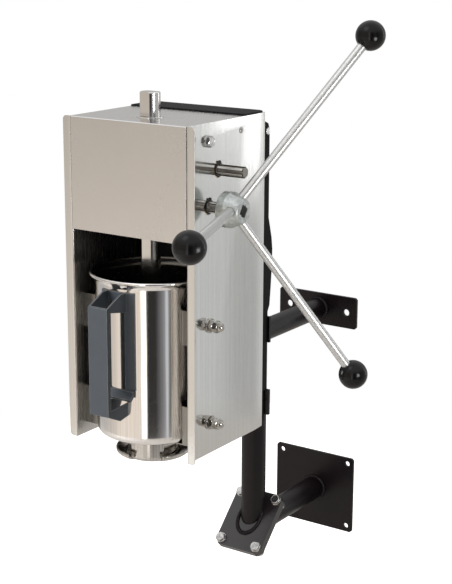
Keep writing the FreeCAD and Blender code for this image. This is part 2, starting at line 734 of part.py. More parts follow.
post_plate_rear = -s.post_reach - s.tube_radius
cross_length = 2 * number(s.spine_half_width) + 8
spine_bolts = [
    (hex_bolt(M8, 15), [(x, wall_rear + s.spine_wall, z, TO_WALL) for x, z in spine_seats]),
    (hex_bolt(M8, 22), [(x, post_plate_rear, z, TO_WALL) for x, z in plate_seats]),
    (hex_nut(M8), [(x, spine_rear - s.spine_wall, z, TO_FRONT) for x, z in plate_seats]),
    (hex_bolt(M8, cross_length), [(s.spine_half_width, cross_y, cross_z, TO_X)]),
    (hex_nut(M8), [(-s.spine_half_width, cross_y, cross_z, TO_LEFT)]),
]

# Gearbox: a floor and three plates bolted to the casting, spaced by rods and tubes.

floor_high = s.floor_low + s.floor_gauge
floor_piece = keep(Piece("gearbox_floor"))
floor_half = inner_half - gauge
floor_piece.pad("XY", s.floor_low, floor_high, [box_corners(-floor_half, floor_half, front + 17, cover_rear)])
LOWER_BUSH_RADIUS = 25
floor_piece.cut("XY", s.floor_low, floor_high, [], [(0, ram_y, LOWER_BUSH_RADIUS)])
SCREW_DEPTH = 15
floor_screws = [(x, s.floor_low + s.floor_gauge / 2) for x in (-85, 85)]
floor_piece.cut("XZ", cover_rear - SCREW_DEPTH, cover_rear, [], [(x, z, M6.tapped) for x, z in floor_screws])

TIE_RODS = [(-612, 692), (-490, 692), (-487, 800)]
PLATE_SCREW_HEIGHT = fixed(740)
SLEEVE_RADIUS = 7


def gear_plate(label, low, bush_seats):
    """One upright plate: a low front corner, a cut rear corner, and holes for bushes, rods and guide bolt."""
    plate = keep(Piece(label))
    high, top = low + s.gear_plate_gauge, s.gear_plate_top
    plate.pad("YZ", low, high, [[
        (front + 11, floor_high), (cover_rear, floor_high), (cover_rear, top - 36),
        (cover_rear - 34, top), (front + 27, top), (front + 11, top - 40),
    ]])
    holes = [(y, z, s.bush_radius) for y, z in bush_seats]
    holes += [(y, z, M10.tapped) for y, z in TIE_RODS]
    holes += [(*GUIDE_BOLT, SLEEVE_RADIUS + 0.2)]
    plate.cut("YZ", low, high, [], holes)
    screw = (low + s.gear_plate_gauge / 2, PLATE_SCREW_HEIGHT, M6.tapped)
    plate.cut("XZ", cover_rear - SCREW_DEPTH, cover_rear, [], [screw])


pinion_seat = (shaft_y, shaft_z)
crank_seat = (crank_y, crank_z)
gear_plate("left_gear_plate", s.left_plate_x, [pinion_seat])
gear_plate("middle_gear_plate", s.middle_plate_x, [pinion_seat, crank_seat])
gear_plate("right_gear_plate", s.right_plate_x, [pinion_seat, crank_seat])

gearbox_screws = floor_screws + [
    (low + s.gear_plate_gauge / 2, PLATE_SCREW_HEIGHT) for low in (s.left_plate_x, s.middle_plate_x)
]
casting.cut("XZ", cover_rear, wall_rear, [], [(x, z, M6.tapped) for x, z in gearbox_screws])
gearbox_bolts = (hex_bolt(M6, 24), [(x, wall_rear, z, TO_WALL) for x, z in gearbox_screws])
group("rear_bolts", *spine_bolts, gearbox_bolts)

ROD_END = 9
rod_left = s.left_plate_x - ROD_END
rod_run = s.right_plate_x + s.gear_plate_gauge - rod_left
group(
    "tie_rods",
    (round_bar(M10.shank, 0, rod_run), [(rod_left, y, z, TO_X) for y, z in TIE_RODS]),
    (hex_nut(M10), [(s.left_plate_x, y, z, TO_LEFT) for y, z in TIE_RODS]),
)
SPACER_RADIUS = 8
gaps = [
    (low + s.gear_plate_gauge, high)
    for low, high in ((s.left_plate_x, s.middle_plate_x), (s.middle_plate_x, s.right_plate_x))
]
plate_spacers = [
    (washer(M10.washer_bore, SPACER_RADIUS, number(high - low)), [(low, y, z, TO_X) for y, z in TIE_RODS])
    for low, high in gaps
]

# Guides of the rod: a block above, held by two long bolts from the panels, and a bush in the floor.

guide = keep(Piece("top_guide_block"))
GUIDE_HALF, GUIDE_ROUND, GUIDE_SCREW_DEPTH = 30, 6, 10
guide_low, guide_high = fixed(802), fixed(848)
guide_front, guide_rear = ram_y - GUIDE_HALF, ram_y + GUIDE_HALF
guide.pad("XY", guide_low, guide_high, [box_corners(-GUIDE_HALF, GUIDE_HALF, guide_front, guide_rear)])
rod_bore = s.rod_radius + s.running_gap
guide.cut("XY", guide_low, guide_high, [], [(0, ram_y, rod_bore)])
for side in (-1, 1):
    low, high = sorted((side * (GUIDE_HALF - GUIDE_SCREW_DEPTH), side * GUIDE_HALF))
    guide.cut("YZ", fixed(low), fixed(high), [], [(*GUIDE_BOLT, M10.tapped)])
guide_corners = [(x, y, None) for x in (-GUIDE_HALF, GUIDE_HALF) for y in (guide_front, guide_rear)]
guide.ease("Fillet", GUIDE_ROUND, guide_corners)

SIDES = ((-1, TO_LEFT), (1, TO_X))
lip_in = inner_half - gauge
sleeve = washer(M10.washer_bore, SLEEVE_RADIUS, number(lip_in) - GUIDE_HALF)
guide_sleeves = (sleeve, [(side * GUIDE_HALF, *GUIDE_BOLT, turn) for side, turn in SIDES])
group("spacer_tubes", *plate_spacers, guide_sleeves)
guide_bolt_end = GUIDE_HALF - GUIDE_SCREW_DEPTH + 0.5
guide_bolt = hex_bolt(M10, number(half_body) + WASHER_GAUGE - guide_bolt_end)
guide_washer = washer(M10.washer_bore, 10, WASHER_GAUGE)
group(
    "guide_bolts",
    (guide_bolt, [(side * (half_body + WASHER_GAUGE), *GUIDE_BOLT, turn) for side, turn in SIDES]),
    (guide_washer, [(side * half_body, *GUIDE_BOLT, turn) for side, turn in SIDES]),
)

bush_foot, bush_top, bush_rim = s.floor_low - 14, floor_high + 4, 30
keep(Piece("lower_guide_bush")).turn([
    (rod_bore, bush_foot), (LOWER_BUSH_RADIUS, bush_foot), (LOWER_BUSH_RADIUS, floor_high),
    (bush_rim, floor_high), (bush_rim, bush_top), (rod_bore, bush_top),
], "V_Axis")
place(SUB_PARTS[-1], 0, ram_y, 0)
scraper_bore, scraper_out, scraper_flange = s.rod_radius + 0.4, 23, 27
scraper_foot, scraper_seat, scraper_top = s.body_top - 6, s.body_top - gauge, s.body_top + 1.4
keep(Piece("rod_scraper_ring")).turn([
    (scraper_bore, scraper_foot), (scraper_flange, scraper_foot), (scraper_flange, scraper_seat),
    (scraper_out, scraper_seat), (scraper_out, scraper_top - 0.6), (scraper_out - 0.8, scraper_top),
    (scraper_bore, scraper_top),
], "V_Axis")
place(SUB_PARTS[-1], 0, ram_y, 0)

# Shafts turn in flanged bushes. Each bush sits in its plate with the flange on the gear side.


def bush_shape():
    body = round_bar(s.bush_radius, 0, s.gear_plate_gauge)
    rim = round_bar(s.bush_flange, -2, 0)
    bore = round_bar(s.shaft_radius + s.running_gap, -3, s.gear_plate_gauge + 1)
    return body.fuse(rim).cut(bore)


bush = bush_shape()
group("shaft_bushes", (bush, [
    (s.left_plate_x + s.gear_plate_gauge, shaft_y, shaft_z, TO_LEFT),
    (s.middle_plate_x + s.gear_plate_gauge, shaft_y, shaft_z, TO_LEFT),
    (s.right_plate_x, shaft_y, shaft_z, TO_X),
    (s.middle_plate_x + s.gear_plate_gauge, crank_y, crank_z, TO_LEFT),
    (s.right_plate_x, crank_y, crank_z, TO_X),
]))

SPLINES = 6
KEY_SIDE, KEY_DEPTH = 6, 3.5
GROOVE_WIDTH, GROOVE_DEPTH = 1.3, 0.6
SHAFT_CHAMFER = 1.6
JOURNAL_END = 126


def spline_shape(root, tip, width, low, high, phase):
    """Six straight splines on a round core, along X, the first one at the phase from +Y toward +Z."""
    core = Part.makeCylinder(root, high - low, V(low, 0, 0), V(1, 0, 0))
    tooth = Part.makeBox(high - low, tip + 1, width, V(low, 0, -width / 2))
    for index in range(SPLINES):
        copy = tooth.copy()
        copy.rotate(V(0, 0, 0), V(1, 0, 0), phase + index * 360 / SPLINES)
        core = core.fuse(copy)
    return core.common(Part.makeCylinder(tip, high - low, V(low, 0, 0), V(1, 0, 0)))


def shaft_shape(left_end, key_spans, groove_spots, phase):
    """Round journal, splined outer end with a chamfer, keyways on top and grooves for retaining rings."""
    radius = number(s.shaft_radius)
    end = number(s.shaft_end)
    journal = Part.makeCylinder(radius, JOURNAL_END - left_end, V(left_end, 0, 0), V(1, 0, 0))
    splined = spline_shape(number(s.spline_root), radius, number(s.spline_width), JOURNAL_END, end, phase)
    run = end - JOURNAL_END
    nose_radius = radius - SHAFT_CHAMFER
    nose = Part.makeCone(nose_radius + run, nose_radius, run, V(JOURNAL_END, 0, 0), V(1, 0, 0))
    shaft = journal.fuse(splined.common(nose))
    for low, high in key_spans:
        corner = V(low, -KEY_SIDE / 2, radius - KEY_DEPTH)
        shaft = shaft.cut(Part.makeBox(high - low, KEY_SIDE, KEY_SIDE, corner))
    for spot in groove_spots:
        groove = Part.makeCylinder(radius + 1, GROOVE_WIDTH, V(spot, 0, 0), V(1, 0, 0))
        core = Part.makeCylinder(radius - GROOVE_DEPTH, GROOVE_WIDTH, V(spot, 0, 0), V(1, 0, 0))
        shaft = shaft.cut(groove.cut(core))
    return shaft.removeSplitter()


def key_shape(low, high):
    """A key in its keyway: 0.05 mm of room at each end and 0.02 mm at each side."""
    side = KEY_SIDE - 0.04
    corner = V(low + 0.05, -side / 2, number(s.shaft_radius) - KEY_DEPTH)
    return Part.makeBox(high - low - 0.1, side, side, corner)


def gear_shape(teeth, module, low, high, phase):
    """Keyed spur gear along X, involute flanks in three chords, one tooth at the phase from +Y toward +Z."""
    teeth, module = int(number(teeth)), number(module)
    pitch = teeth * module / 2
    tip, root = pitch + module, pitch - 1.25 * module
    base = pitch * math.cos(math.radians(number(s.pressure_angle)))
    thinning = number(s.tooth_thinning) / pitch

    def involute(radius):
        angle = math.acos(min(1, base / radius))
        return math.tan(angle) - angle

    def half_angle(radius):
        return math.pi / (2 * teeth) + involute(pitch) - involute(max(radius, base)) - thinning

    lowest = max(root, base)
    radii = [root] + [lowest + (tip - lowest) * step / 3 for step in range(0 if root < base else 1, 4)]
    spots = []
    for index in range(teeth):
        centre = math.radians(phase) + 2 * math.pi * index / teeth
        flank = [(radius, centre - half_angle(radius)) for radius in radii]
        flank += [(radius, centre + half_angle(radius)) for radius in reversed(radii)]
        spots += [V(low, radius * math.cos(angle), radius * math.sin(angle)) for radius, angle in flank]
    spots.append(spots[0])
    shaft = number(s.shaft_radius)
    gear = Part.Face(Part.makePolygon(spots)).extrude(V(high - low, 0, 0))
    gear = gear.cut(Part.makeCylinder(shaft + 0.02, high - low, V(low, 0, 0), V(1, 0, 0)))
    return gear.cut(Part.makeBox(high - low, KEY_SIDE, KEY_SIDE, V(low, -KEY_SIDE / 2, shaft - KEY_DEPTH)))


def ring_shape(low):
    """Retaining ring: an open ring with two ears beside its gap, seated in a groove."""
    thick = GROOVE_WIDTH - 0.1
    radius = number(s.shaft_radius)
    ear_radius, ear_across, gap = 2.3, 3.2, 2.4
    ring = Part.makeCylinder(radius + 2, thick, V(low, 0, 0), V(1, 0, 0))
    for side in (-1, 1):
        ear = Part.makeCylinder(ear_radius, thick, V(low, side * ear_across, radius + 3), V(1, 0, 0))
        ring = ring.fuse(ear)
    ring = ring.cut(Part.makeCylinder(radius - GROOVE_DEPTH + 0.05, thick, V(low, 0, 0), V(1, 0, 0)))
    return ring.cut(Part.makeBox(thick, gap, 8, V(low, -gap / 2, radius - 2)))


def sleeve_shape(spans):
    """Loose spacers on a shaft, one for each span along X."""
    bore = number(s.shaft_radius) + 0.1
    return Part.makeCompound([
        Part.makeCylinder(14, high - low, V(low, 0, 0), V(1, 0, 0)).cut(
            Part.makeCylinder(bore, high - low, V(low, 0, 0), V(1, 0, 0)))
        for low, high in spans
    ])


flange_left = number(s.left_plate_x + s.gear_plate_gauge) + 2.3
flange_middle = number(s.middle_plate_x + s.gear_plate_gauge) + 2.3
flange_right = number(s.right_plate_x) - 2.3
PINION_SPAN, LARGE_SPAN, DRIVE_SPAN = (-20, 20), (49, 65), (48, 66)
PINION_SHAFT_LEFT, CRANK_SHAFT_LEFT = -48, 27.5
PINION_GROOVE, CRANK_GROOVE = -44.5, 30.1
outer_groove = number(half_body) + 0.4
UPPER_SPLINE_PHASE = 25
RACK_DIRECTION = 180

pinion_key = (-14, 14)
large_key = (LARGE_SPAN[0] + 1, LARGE_SPAN[1] - 1)
drive_key = (DRIVE_SPAN[0] + 1, DRIVE_SPAN[1] - 1)
large_phase = mesh_direction + 180 + 180 / number(s.large_teeth)
pinion_shaft_parts = {
    "pinion_shaft": shaft_shape(
        PINION_SHAFT_LEFT, [pinion_key, large_key], [PINION_GROOVE, outer_groove], UPPER_SPLINE_PHASE
    ),
    "pinion_shaft_keys": Part.makeCompound([key_shape(*pinion_key), key_shape(*large_key)]),
    "rack_pinion": gear_shape(s.pinion_teeth, s.rack_module, *PINION_SPAN, RACK_DIRECTION),
    "large_gear": gear_shape(s.large_teeth, s.gear_module, *LARGE_SPAN, large_phase),
    "pinion_shaft_spacers": sleeve_shape([
        (flange_left, PINION_SPAN[0]), (PINION_SPAN[1], number(s.middle_plate_x) - 0.3),
        (flange_middle, LARGE_SPAN[0]), (LARGE_SPAN[1], flange_right),
    ]),
    "pinion_shaft_rings": Part.makeCompound([
        ring_shape(low + 0.05) for low in (PINION_GROOVE, outer_groove)
    ]),
}
for label, shape in pinion_shaft_parts.items():
    keep(feature(label, shape, 0, shaft_y, shaft_z))

crank_shaft_parts = {
    "crank_shaft": shaft_shape(
        CRANK_SHAFT_LEFT, [drive_key], [CRANK_GROOVE, outer_groove], number(s.arm_phase)
    ),
    "drive_gear_key": key_shape(*drive_key),
    "drive_gear": gear_shape(s.drive_teeth, s.gear_module, *DRIVE_SPAN, mesh_direction),
    "crank_shaft_spacers": sleeve_shape([(flange_middle, DRIVE_SPAN[0]), (DRIVE_SPAN[1], flange_right)]),
    "crank_shaft_rings": Part.makeCompound([ring_shape(low + 0.05) for low in (CRANK_GROOVE, outer_groove)]),
}
for label, shape in crank_shaft_parts.items():
    keep(feature(label, shape, 0, crank_y, crank_z))

# Ram: a round rod with a flat in front and the rack behind, a piston on its lower end.

rod = keep(Piece("rack_rod"))
stud_foot = s.piston_foot + 3
rod.pad("XY", s.rod_shoulder, s.rod_top, [], [(0, 0, s.rod_radius)])
rod.pad("XY", stud_foot, s.rod_shoulder, [], [(0, 0, M20.shank)])
rod.ease("Chamfer", 1.5, [(None, None, s.rod_top)])
wide = s.rod_radius + 2
rod.cut("XY", s.rod_shoulder + 22, s.rod_top, [box_corners(-wide, wide, -wide, -s.rod_front_flat)])
rack_pitch = s.rack_module * math.pi
SPACES_BELOW_PINION = 28
rack_first = shaft_z - rack_pitch * SPACES_BELOW_PINION
rod.cut("XY", rack_first - 12, s.rod_top, [box_corners(-wide, wide, s.rod_rear_flat, wide)])
slope = math.tan(math.radians(number(s.pressure_angle)))
space_tip = s.rack_module * (math.pi / 4 + slope) + s.tooth_thinning
space_root = s.rack_module * (math.pi / 4 - 1.25 * slope) + s.tooth_thinning
flat = s.rod_rear_flat
root = flat - s.rack_module * 2.25
rod.cut("YZ", -wide, wide, [[
    (flat + 1, rack_first - space_tip), (flat + 1, rack_first + space_tip), (flat, rack_first + space_tip),
    (root, rack_first + space_root), (root, rack_first - space_root), (flat, rack_first - space_tip),
]])
first_space = rod.body.Tip
doc.recompute()
rack = rod.body.newObject("PartDesign::LinearPattern", "rack_rod_teeth")
rack.Originals = [first_space]
z_axis = next(p for p in rod.body.Origin.OriginFeatures if p.Role == "Z_Axis")
rack.Direction = (z_axis, [""])
rack.Length = number(rack_pitch * (s.rack_spaces - 1))
bind(rack, "Length", rack_pitch * (s.rack_spaces - 1))
rack.Occurrences = int(number(s.rack_spaces))
rod.body.Tip = rack
place(rod.body, 0, ram_y, 0)

piston_top = s.piston_foot + s.piston_gauge
nut_seat = s.piston_foot + 17
nut_pocket, boss_radius = 22, 28
seal_low, seal_high = s.piston_foot + 9, s.piston_foot + 19
seal_in, seal_out = s.piston_radius - 6, s.cylinder_radius - s.cylinder_wall - s.seal_gap
keep(Piece("piston")).turn([
    (M20.tapped, nut_seat), (nut_pocket, nut_seat), (nut_pocket, s.piston_foot + 2),
    (nut_pocket + 2, s.piston_foot), (s.piston_radius - 8, s.piston_foot),
    (s.piston_radius, s.piston_foot + 6), (s.piston_radius, seal_low), (seal_in, seal_low),
    (seal_in, seal_high), (s.piston_radius, seal_high),
    (s.piston_radius, piston_top - 2), (s.piston_radius - 2, piston_top), (boss_radius + 6, piston_top),
    (boss_radius, s.rod_shoulder), (M20.tapped, s.rod_shoulder),
], "V_Axis")
place(SUB_PARTS[-1], 0, ram_y, 0)
keep(Piece("piston_seal")).turn([
    (seal_in, seal_low), (seal_out - 1, seal_low), (seal_out, seal_low + 2),
    (seal_out, seal_high - 2), (seal_out - 1, seal_high), (seal_in, seal_high),
], "V_Axis")
place(SUB_PARTS[-1], 0, ram_y, 0)
group("piston_nut", (hex_nut(M20), [(0, ram_y, nut_seat, inverted)]))

# Cylinder: spun sheet as wall, floor and rolled rim, a cast outlet neck and a channel handle.


def arc(centre_r, centre_z, radius, angles):
    return Part.Arc(*[
        V(centre_r + radius * math.cos(math.radians(a)), 0, centre_z + radius * math.sin(math.radians(a)))
        for a in angles
    ]).toShape()


def line(*spots):
    return Part.makePolygon([V(r, 0, z) for r, z in spots]).Edges


def spin(edges):
    """Solid of revolution about Z from the edges of a closed outline in the XZ plane."""
    return Part.Face(Part.Wire(Part.__sortEdges__(edges))).revolve(V(0, 0, 0), V(0, 0, 1), 360)


FLARE_DROP, FLARE_TURN, BEAD_OUT = 16, 54, 1.8
cylinder_out, cylinder_in = number(s.cylinder_radius), number(s.cylinder_radius - s.cylinder_wall)
cylinder_low, cylinder_bend = number(s.cylinder_foot), number(s.cylinder_corner)
floor_top = number(s.cylinder_foot + s.cylinder_wall)
floor_radius = number(s.cylinder_radius - s.cylinder_corner)
flare_low = number(s.rim_top) - FLARE_DROP


def cylinder_shape():
    """The straight wall with its rounded foot."""
    bend_top = cylinder_low + cylinder_bend
    radii = (cylinder_bend, cylinder_bend - number(s.cylinder_wall))
    edges = [arc(floor_radius, bend_top, radius, (-90, -45, 0)) for radius in radii]
    edges += line((cylinder_out, bend_top), (cylinder_out, flare_low))
    edges += line((cylinder_out, flare_low), (cylinder_in, flare_low), (cylinder_in, bend_top))
    edges += line((floor_radius, floor_top), (floor_radius, cylinder_low))
    return spin(edges)


def floor_shape():
    """The flat floor inside the rounded foot, with a hole for the neck."""
    hole = number(s.neck_bore) + 2
    lower, upper = [[(r, z) for r in (hole, floor_radius)] for z in (cylinder_low, floor_top)]
    return spin(line(*lower, *reversed(upper), lower[0]))


def rim_shape():
    """The wall's upper end, flared out into a rolled bead."""
    radii = (number(s.rim_flare), number(s.rim_flare + s.cylinder_wall))
    centre = cylinder_out + radii[0]
    angles = (180, 180 - FLARE_TURN / 2, 180 - FLARE_TURN)
    flares = [arc(centre, flare_low, radius, angles) for radius in radii]
    end = math.radians(180 - FLARE_TURN)
    tips = [(centre + radius * math.cos(end), flare_low + radius * math.sin(end)) for radius in radii]
    shell = spin(flares + line(*tips) + line((cylinder_out, flare_low), (cylinder_in, flare_low)))
    bead = Part.makeTorus(tips[0][0] + BEAD_OUT, number(s.rim_bead), V(0, 0, number(s.rim_top - s.rim_bead)))
    return shell.fuse(bead).removeSplitter()


keep(feature("cylinder", cylinder_shape(), 0, ram_y, 0))
keep(feature("cylinder_floor", floor_shape(), 0, ram_y, 0))
keep(feature("cylinder_rim", rim_shape(), 0, ram_y, 0))


def sector(inner, outer, low, high, middle, span):
    """A part of a ring about the Z axis."""
    ring = Part.makeCylinder(outer, high - low, V(0, 0, low), V(0, 0, 1), span).cut(
        Part.makeCylinder(inner, high - low, V(0, 0, low)))
    ring.rotate(V(0, 0, 0), V(0, 0, 1), middle - span / 2)
    return ring


def neck_shape():
    """Outlet neck with a rounded foot, two bayonet wings turned up at their tips, and a hollow above each."""
    out, bore = number(s.neck_radius), number(s.neck_bore)
    top, foot, tip = number(s.cylinder_foot), number(s.neck_foot), number(s.wing_radius)
    middle, span = number(s.wing_middle), number(s.wing_span)
    round_foot, collar = 8, 3
    hollow_radius, hollow_low, hollow_high = 44, foot + 6.5, foot + 28
    profile = [(out - round_foot, foot), (bore, foot), (bore, top), (out + collar, top),
               (out + collar, top - 3), (out, top - 5), (out, foot + round_foot)]
    lean = round_foot * math.sqrt(0.5)
    curve = Part.Arc(V(out, 0, foot + round_foot), V(out - round_foot + lean, 0, foot + round_foot - lean),
                     V(out - round_foot, 0, foot)).toShape()
    edges = Part.makePolygon([V(r, 0, z) for r, z in profile]).Edges + [curve]
    body = Part.Face(Part.Wire(Part.__sortEdges__(edges))).revolve(V(0, 0, 0), V(0, 0, 1), 360)
    root, wing_top, lip = out - 8, foot + 6.5, 3
    wing_profile = [
        (root, foot + 1), (tip - 14, foot + 1.5), (tip - lip, foot + 6), (tip, foot + 9),
        (tip, foot + 15), (tip - lip, foot + 15), (tip - lip, foot + 11), (tip - 15, wing_top),
        (root, wing_top), (root, foot + 1),
    ]
    wing_outline = Part.makePolygon([V(r, 0, z) for r, z in wing_profile])
    wing = Part.Face(wing_outline).revolve(V(0, 0, 0), V(0, 0, 1), span)
    for side in (0, 180):
        body = body.cut(sector(hollow_radius, out + 4, hollow_low, hollow_high, middle + side, span - 14))
        copy = wing.copy()
        copy.rotate(V(0, 0, 0), V(0, 0, 1), side + middle - span / 2)
        body = body.fuse(copy)
    return body.removeSplitter()


keep(feature("outlet_neck", neck_shape(), 0, ram_y, 0))

HANDLE_TOP, HANDLE_FOOT = 573, 353
grip = Piece("handle_channel")
reach_in = s.cylinder_radius - 8
window_reach = -s.handle_reach + 7
half = s.handle_half_width
grip.pad("YZ", -half, half, [[
    (-s.handle_reach, HANDLE_FOOT + 15), (-118, HANDLE_FOOT), (-reach_in, HANDLE_FOOT + 5),
    (-reach_in, HANDLE_TOP), (-113, HANDLE_TOP), (-s.handle_reach, HANDLE_TOP - 18),
]])
grip.cut("YZ", -half, half, [[(window_reach, 377), (-reach_in, 380), (-reach_in, 538), (window_reach, 548)]])
grip.cut("XY", fixed(HANDLE_FOOT - 13), fixed(HANDLE_TOP + 17), [box_corners(
    -half + s.handle_gauge, half - s.handle_gauge, -s.handle_reach + s.handle_gauge, -reach_in + 20
)])
place(grip.body, 0, ram_y, 0)


def strap_shape():
    """Back strap of the handle on the cylinder's wall, open between the cheeks, its foot curled forward."""
    radius, gauge, half_width = number(s.cylinder_radius), number(s.strap_gauge), number(s.strap_half_width)
    cheek = number(s.handle_half_width) - number(s.handle_gauge)
    foot, top, open_top = 402, HANDLE_TOP, 556
    curl_in, curl_out, curl_turn = 13.5, 18, 65
    span = 2 * math.degrees(math.asin(half_width / radius))
    strap = sector(radius - 1, radius + gauge, foot, top, -90, span)
    strap = strap.cut(Part.makeBox(2 * cheek, 20, open_top - foot, V(-cheek, -radius - 10, foot)))
    axis = V(-half_width, -radius - gauge - curl_in, foot)
    curl = Part.makeCylinder(curl_out, 2 * half_width, axis, V(1, 0, 0), curl_turn)
    curl = curl.cut(Part.makeCylinder(curl_in, 2 * half_width, axis, V(1, 0, 0)))
    curl.rotate(axis, V(1, 0, 0), -90 - curl_turn)
    return strap.fuse(curl).removeSplitter()


handle_blank = boolean("handle_blank", "Fuse", grip.body, feature("handle_strap", strap_shape(), 0, ram_y, 0))
handle_seat = cylinder("handle_seat", s.cylinder_radius, 260, 0, ram_y, 340)
keep(boolean("cylinder_handle", "Cut", handle_blank, handle_seat))

LEDGE_TIP = 72


def supports(label, low, high, bolt, ledge):
    """A pair of folded channels that grip the cylinder; the lower pair also has a ledge under it."""
    piece = keep(Piece(label))
    fold = 2
    near, far = ram_y - s.support_half_depth, ram_y + s.support_half_depth
    for side in (-1, 1):
        wall_x, tip = side * inner_half, side * s.support_tip
        fold_x = wall_x - side * fold
        piece.pad("XY", low, high, [[
            (wall_x, near), (tip, near), (tip, near + fold), (fold_x, near + fold),
            (fold_x, far - fold), (tip, far - fold), (tip, far), (wall_x, far),
        ]])
        if ledge:
            piece.pad("XY", low - fold, low, [box_corners(wall_x, side * LEDGE_TIP, near, far)])
        low_x, high_x = (fold_x, wall_x) if side > 0 else (wall_x, fold_x)
        piece.cut("YZ", low_x, high_x, [], [(ram_y, bolt, M12.hole)])
    piece.body.AllowCompound = True


supports("upper_supports", s.upper_support - 30, s.upper_support + 30, s.upper_support, False)
supports("lower_supports", s.cylinder_foot, s.lower_support + 33, s.lower_support, True)


def support_seats(outward, faces_out):
    return [
        (side * (half_body + outward), ram_y, z, TO_X if (side > 0) == faces_out else TO_LEFT)
        for side in (-1, 1) for z in (s.upper_support, s.lower_support)
    ]


SUPPORT_WASHER, SUPPORT_WASHER_GAUGE = 13, 2.5
CAP_NUT_HEIGHT, CAP_NUT_DEPTH = 18, 13
group(
    "support_bolts",
    (hex_bolt(M12, 25), support_seats(-4, False)),
    (washer(M12.washer_bore, SUPPORT_WASHER, SUPPORT_WASHER_GAUGE), support_seats(0, True)),
    (hex_nut(M12), support_seats(SUPPORT_WASHER_GAUGE, True)),
)
cap_nut = dome_nut(M12, CAP_NUT_DEPTH, CAP_NUT_HEIGHT)
group("support_dome_nuts", (cap_nut, support_seats(SUPPORT_WASHER_GAUGE + M12.nut, True)))

# Crank: a cast hub on the splines, three rods screwed square into its cone and three ball knobs.


def arm_direction(index):
    tilt = math.radians(number(s.arm_tilt))
    phase = math.radians(number(s.arm_phase) + 120 * index)
    return V(math.sin(tilt), math.cos(tilt) * math.cos(phase), math.cos(tilt) * math.sin(phase))


convergence = V(number(s.arm_convergence), 0, 0)
ARM_SEAT = number(s.arm_length) - 12
SCREW_X = 162


def hub_shape():
    """Disc with a cone in front, a splined bore, a square socket and seats for the three arms."""
    back, face, edge = (number(size) for size in (s.hub_back, s.hub_front, s.arm_convergence))
    radius, nose = number(s.hub_radius), number(s.hub_front_radius)
    profile = [(back, 0), (back, radius - 2), (back + 2, radius), (edge, radius),
               (face - 0.8, nose + 0.4), (face, nose - 0.6), (face, 0), (back, 0)]
    outline = Part.makePolygon([V(x, r, 0) for x, r in profile])
    hub = Part.Face(outline).revolve(V(0, 0, 0), V(1, 0, 0), 360)
    bore = spline_shape(
        number(s.spline_root) + 0.1, number(s.shaft_radius) + 0.12, number(s.spline_width) + 0.2,
        back - 1, face, number(s.arm_phase),
    )
    half_side, depth = number(s.socket_half), number(s.socket_depth)
    socket = Part.makeBox(depth + 1, 2 * half_side, 2 * half_side, V(face - depth, -half_side, -half_side))
    socket.rotate(V(0, 0, 0), V(1, 0, 0), number(s.arm_phase))
    hub = hub.cut(bore).cut(socket)
    for index in range(3):
        direction = arm_direction(index)
        start = convergence + direction * number(s.arm_start)
        hub = hub.cut(Part.makeCylinder(number(s.arm_radius) + 0.03, 60, start, direction))
    return hub.cut(screw_bar(4.03, number(s.shaft_radius) - 0.5, 40))


def screw_bar(radius, low, high):
    """A bar across the hub, opposite the first arm, where the set screw sits."""
    angle = math.radians(number(s.arm_phase) + 180)
    outward = V(0, math.cos(angle), math.sin(angle))
    return Part.makeCylinder(radius, high - low, V(SCREW_X, 0, 0) + outward * low, outward)


keep(feature("crank_hub", hub_shape(), 0, crank_y, crank_z))
set_screw = screw_bar(4, number(s.shaft_radius) + 0.3, 24).cut(screw_bar(2, 18, 25))
keep(feature("hub_set_screw", set_screw, 0, crank_y, crank_z))


def arm_shape(index):
    direction = arm_direction(index)
    start = convergence + direction * number(s.arm_start)
    return Part.makeCylinder(number(s.arm_radius), ARM_SEAT - number(s.arm_start), start, direction)


def knob_shape(index):
    """Ball with a flat where the rod enters and a blind bore for it."""
    direction = arm_direction(index)
    radius = number(s.knob_radius)
    centre = convergence + direction * number(s.arm_length)
    mouth_at = number(s.arm_length) - radius * 0.9
    mouth = convergence + direction * mouth_at
    ball = Part.makeSphere(radius, centre)
    ball = ball.cut(Part.makeCylinder(radius, radius, mouth, direction * -1))
    bore = Part.makeCylinder(number(s.arm_radius) + 0.03, ARM_SEAT - mouth_at + 0.5, mouth, direction)
    return ball.cut(bore)


for index in range(3):
    keep(feature(f"crank_arm_{index + 1}", arm_shape(index), 0, crank_y, crank_z))
    keep(feature(f"knob_{index + 1}", knob_shape(index), 0, crank_y, crank_z))

doc.recompute()
for thing in doc.Objects:
    if "Invalid" in thing.State or "Error" in thing.State:
        raise RuntimeError(f"{thing.Label} did not build: {thing.State}")
for base, step in cut_checks:
    if base.Shape.Volume - step.Shape.Volume < 1:
        raise RuntimeError(f"{step.Label} cuts nothing")
for thing in SUB_PARTS:
    if thing.Shape.isNull() or not thing.Shape.isValid():
        raise RuntimeError(f"{thing.Label} has no valid shape")

os.makedirs("parts", exist_ok=True)
for thing in SUB_PARTS:
    thing.Shape.exportStep(f"parts/{thing.Label}.step")
print(len(SUB_PARTS), "sub-parts")
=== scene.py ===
import json
import math

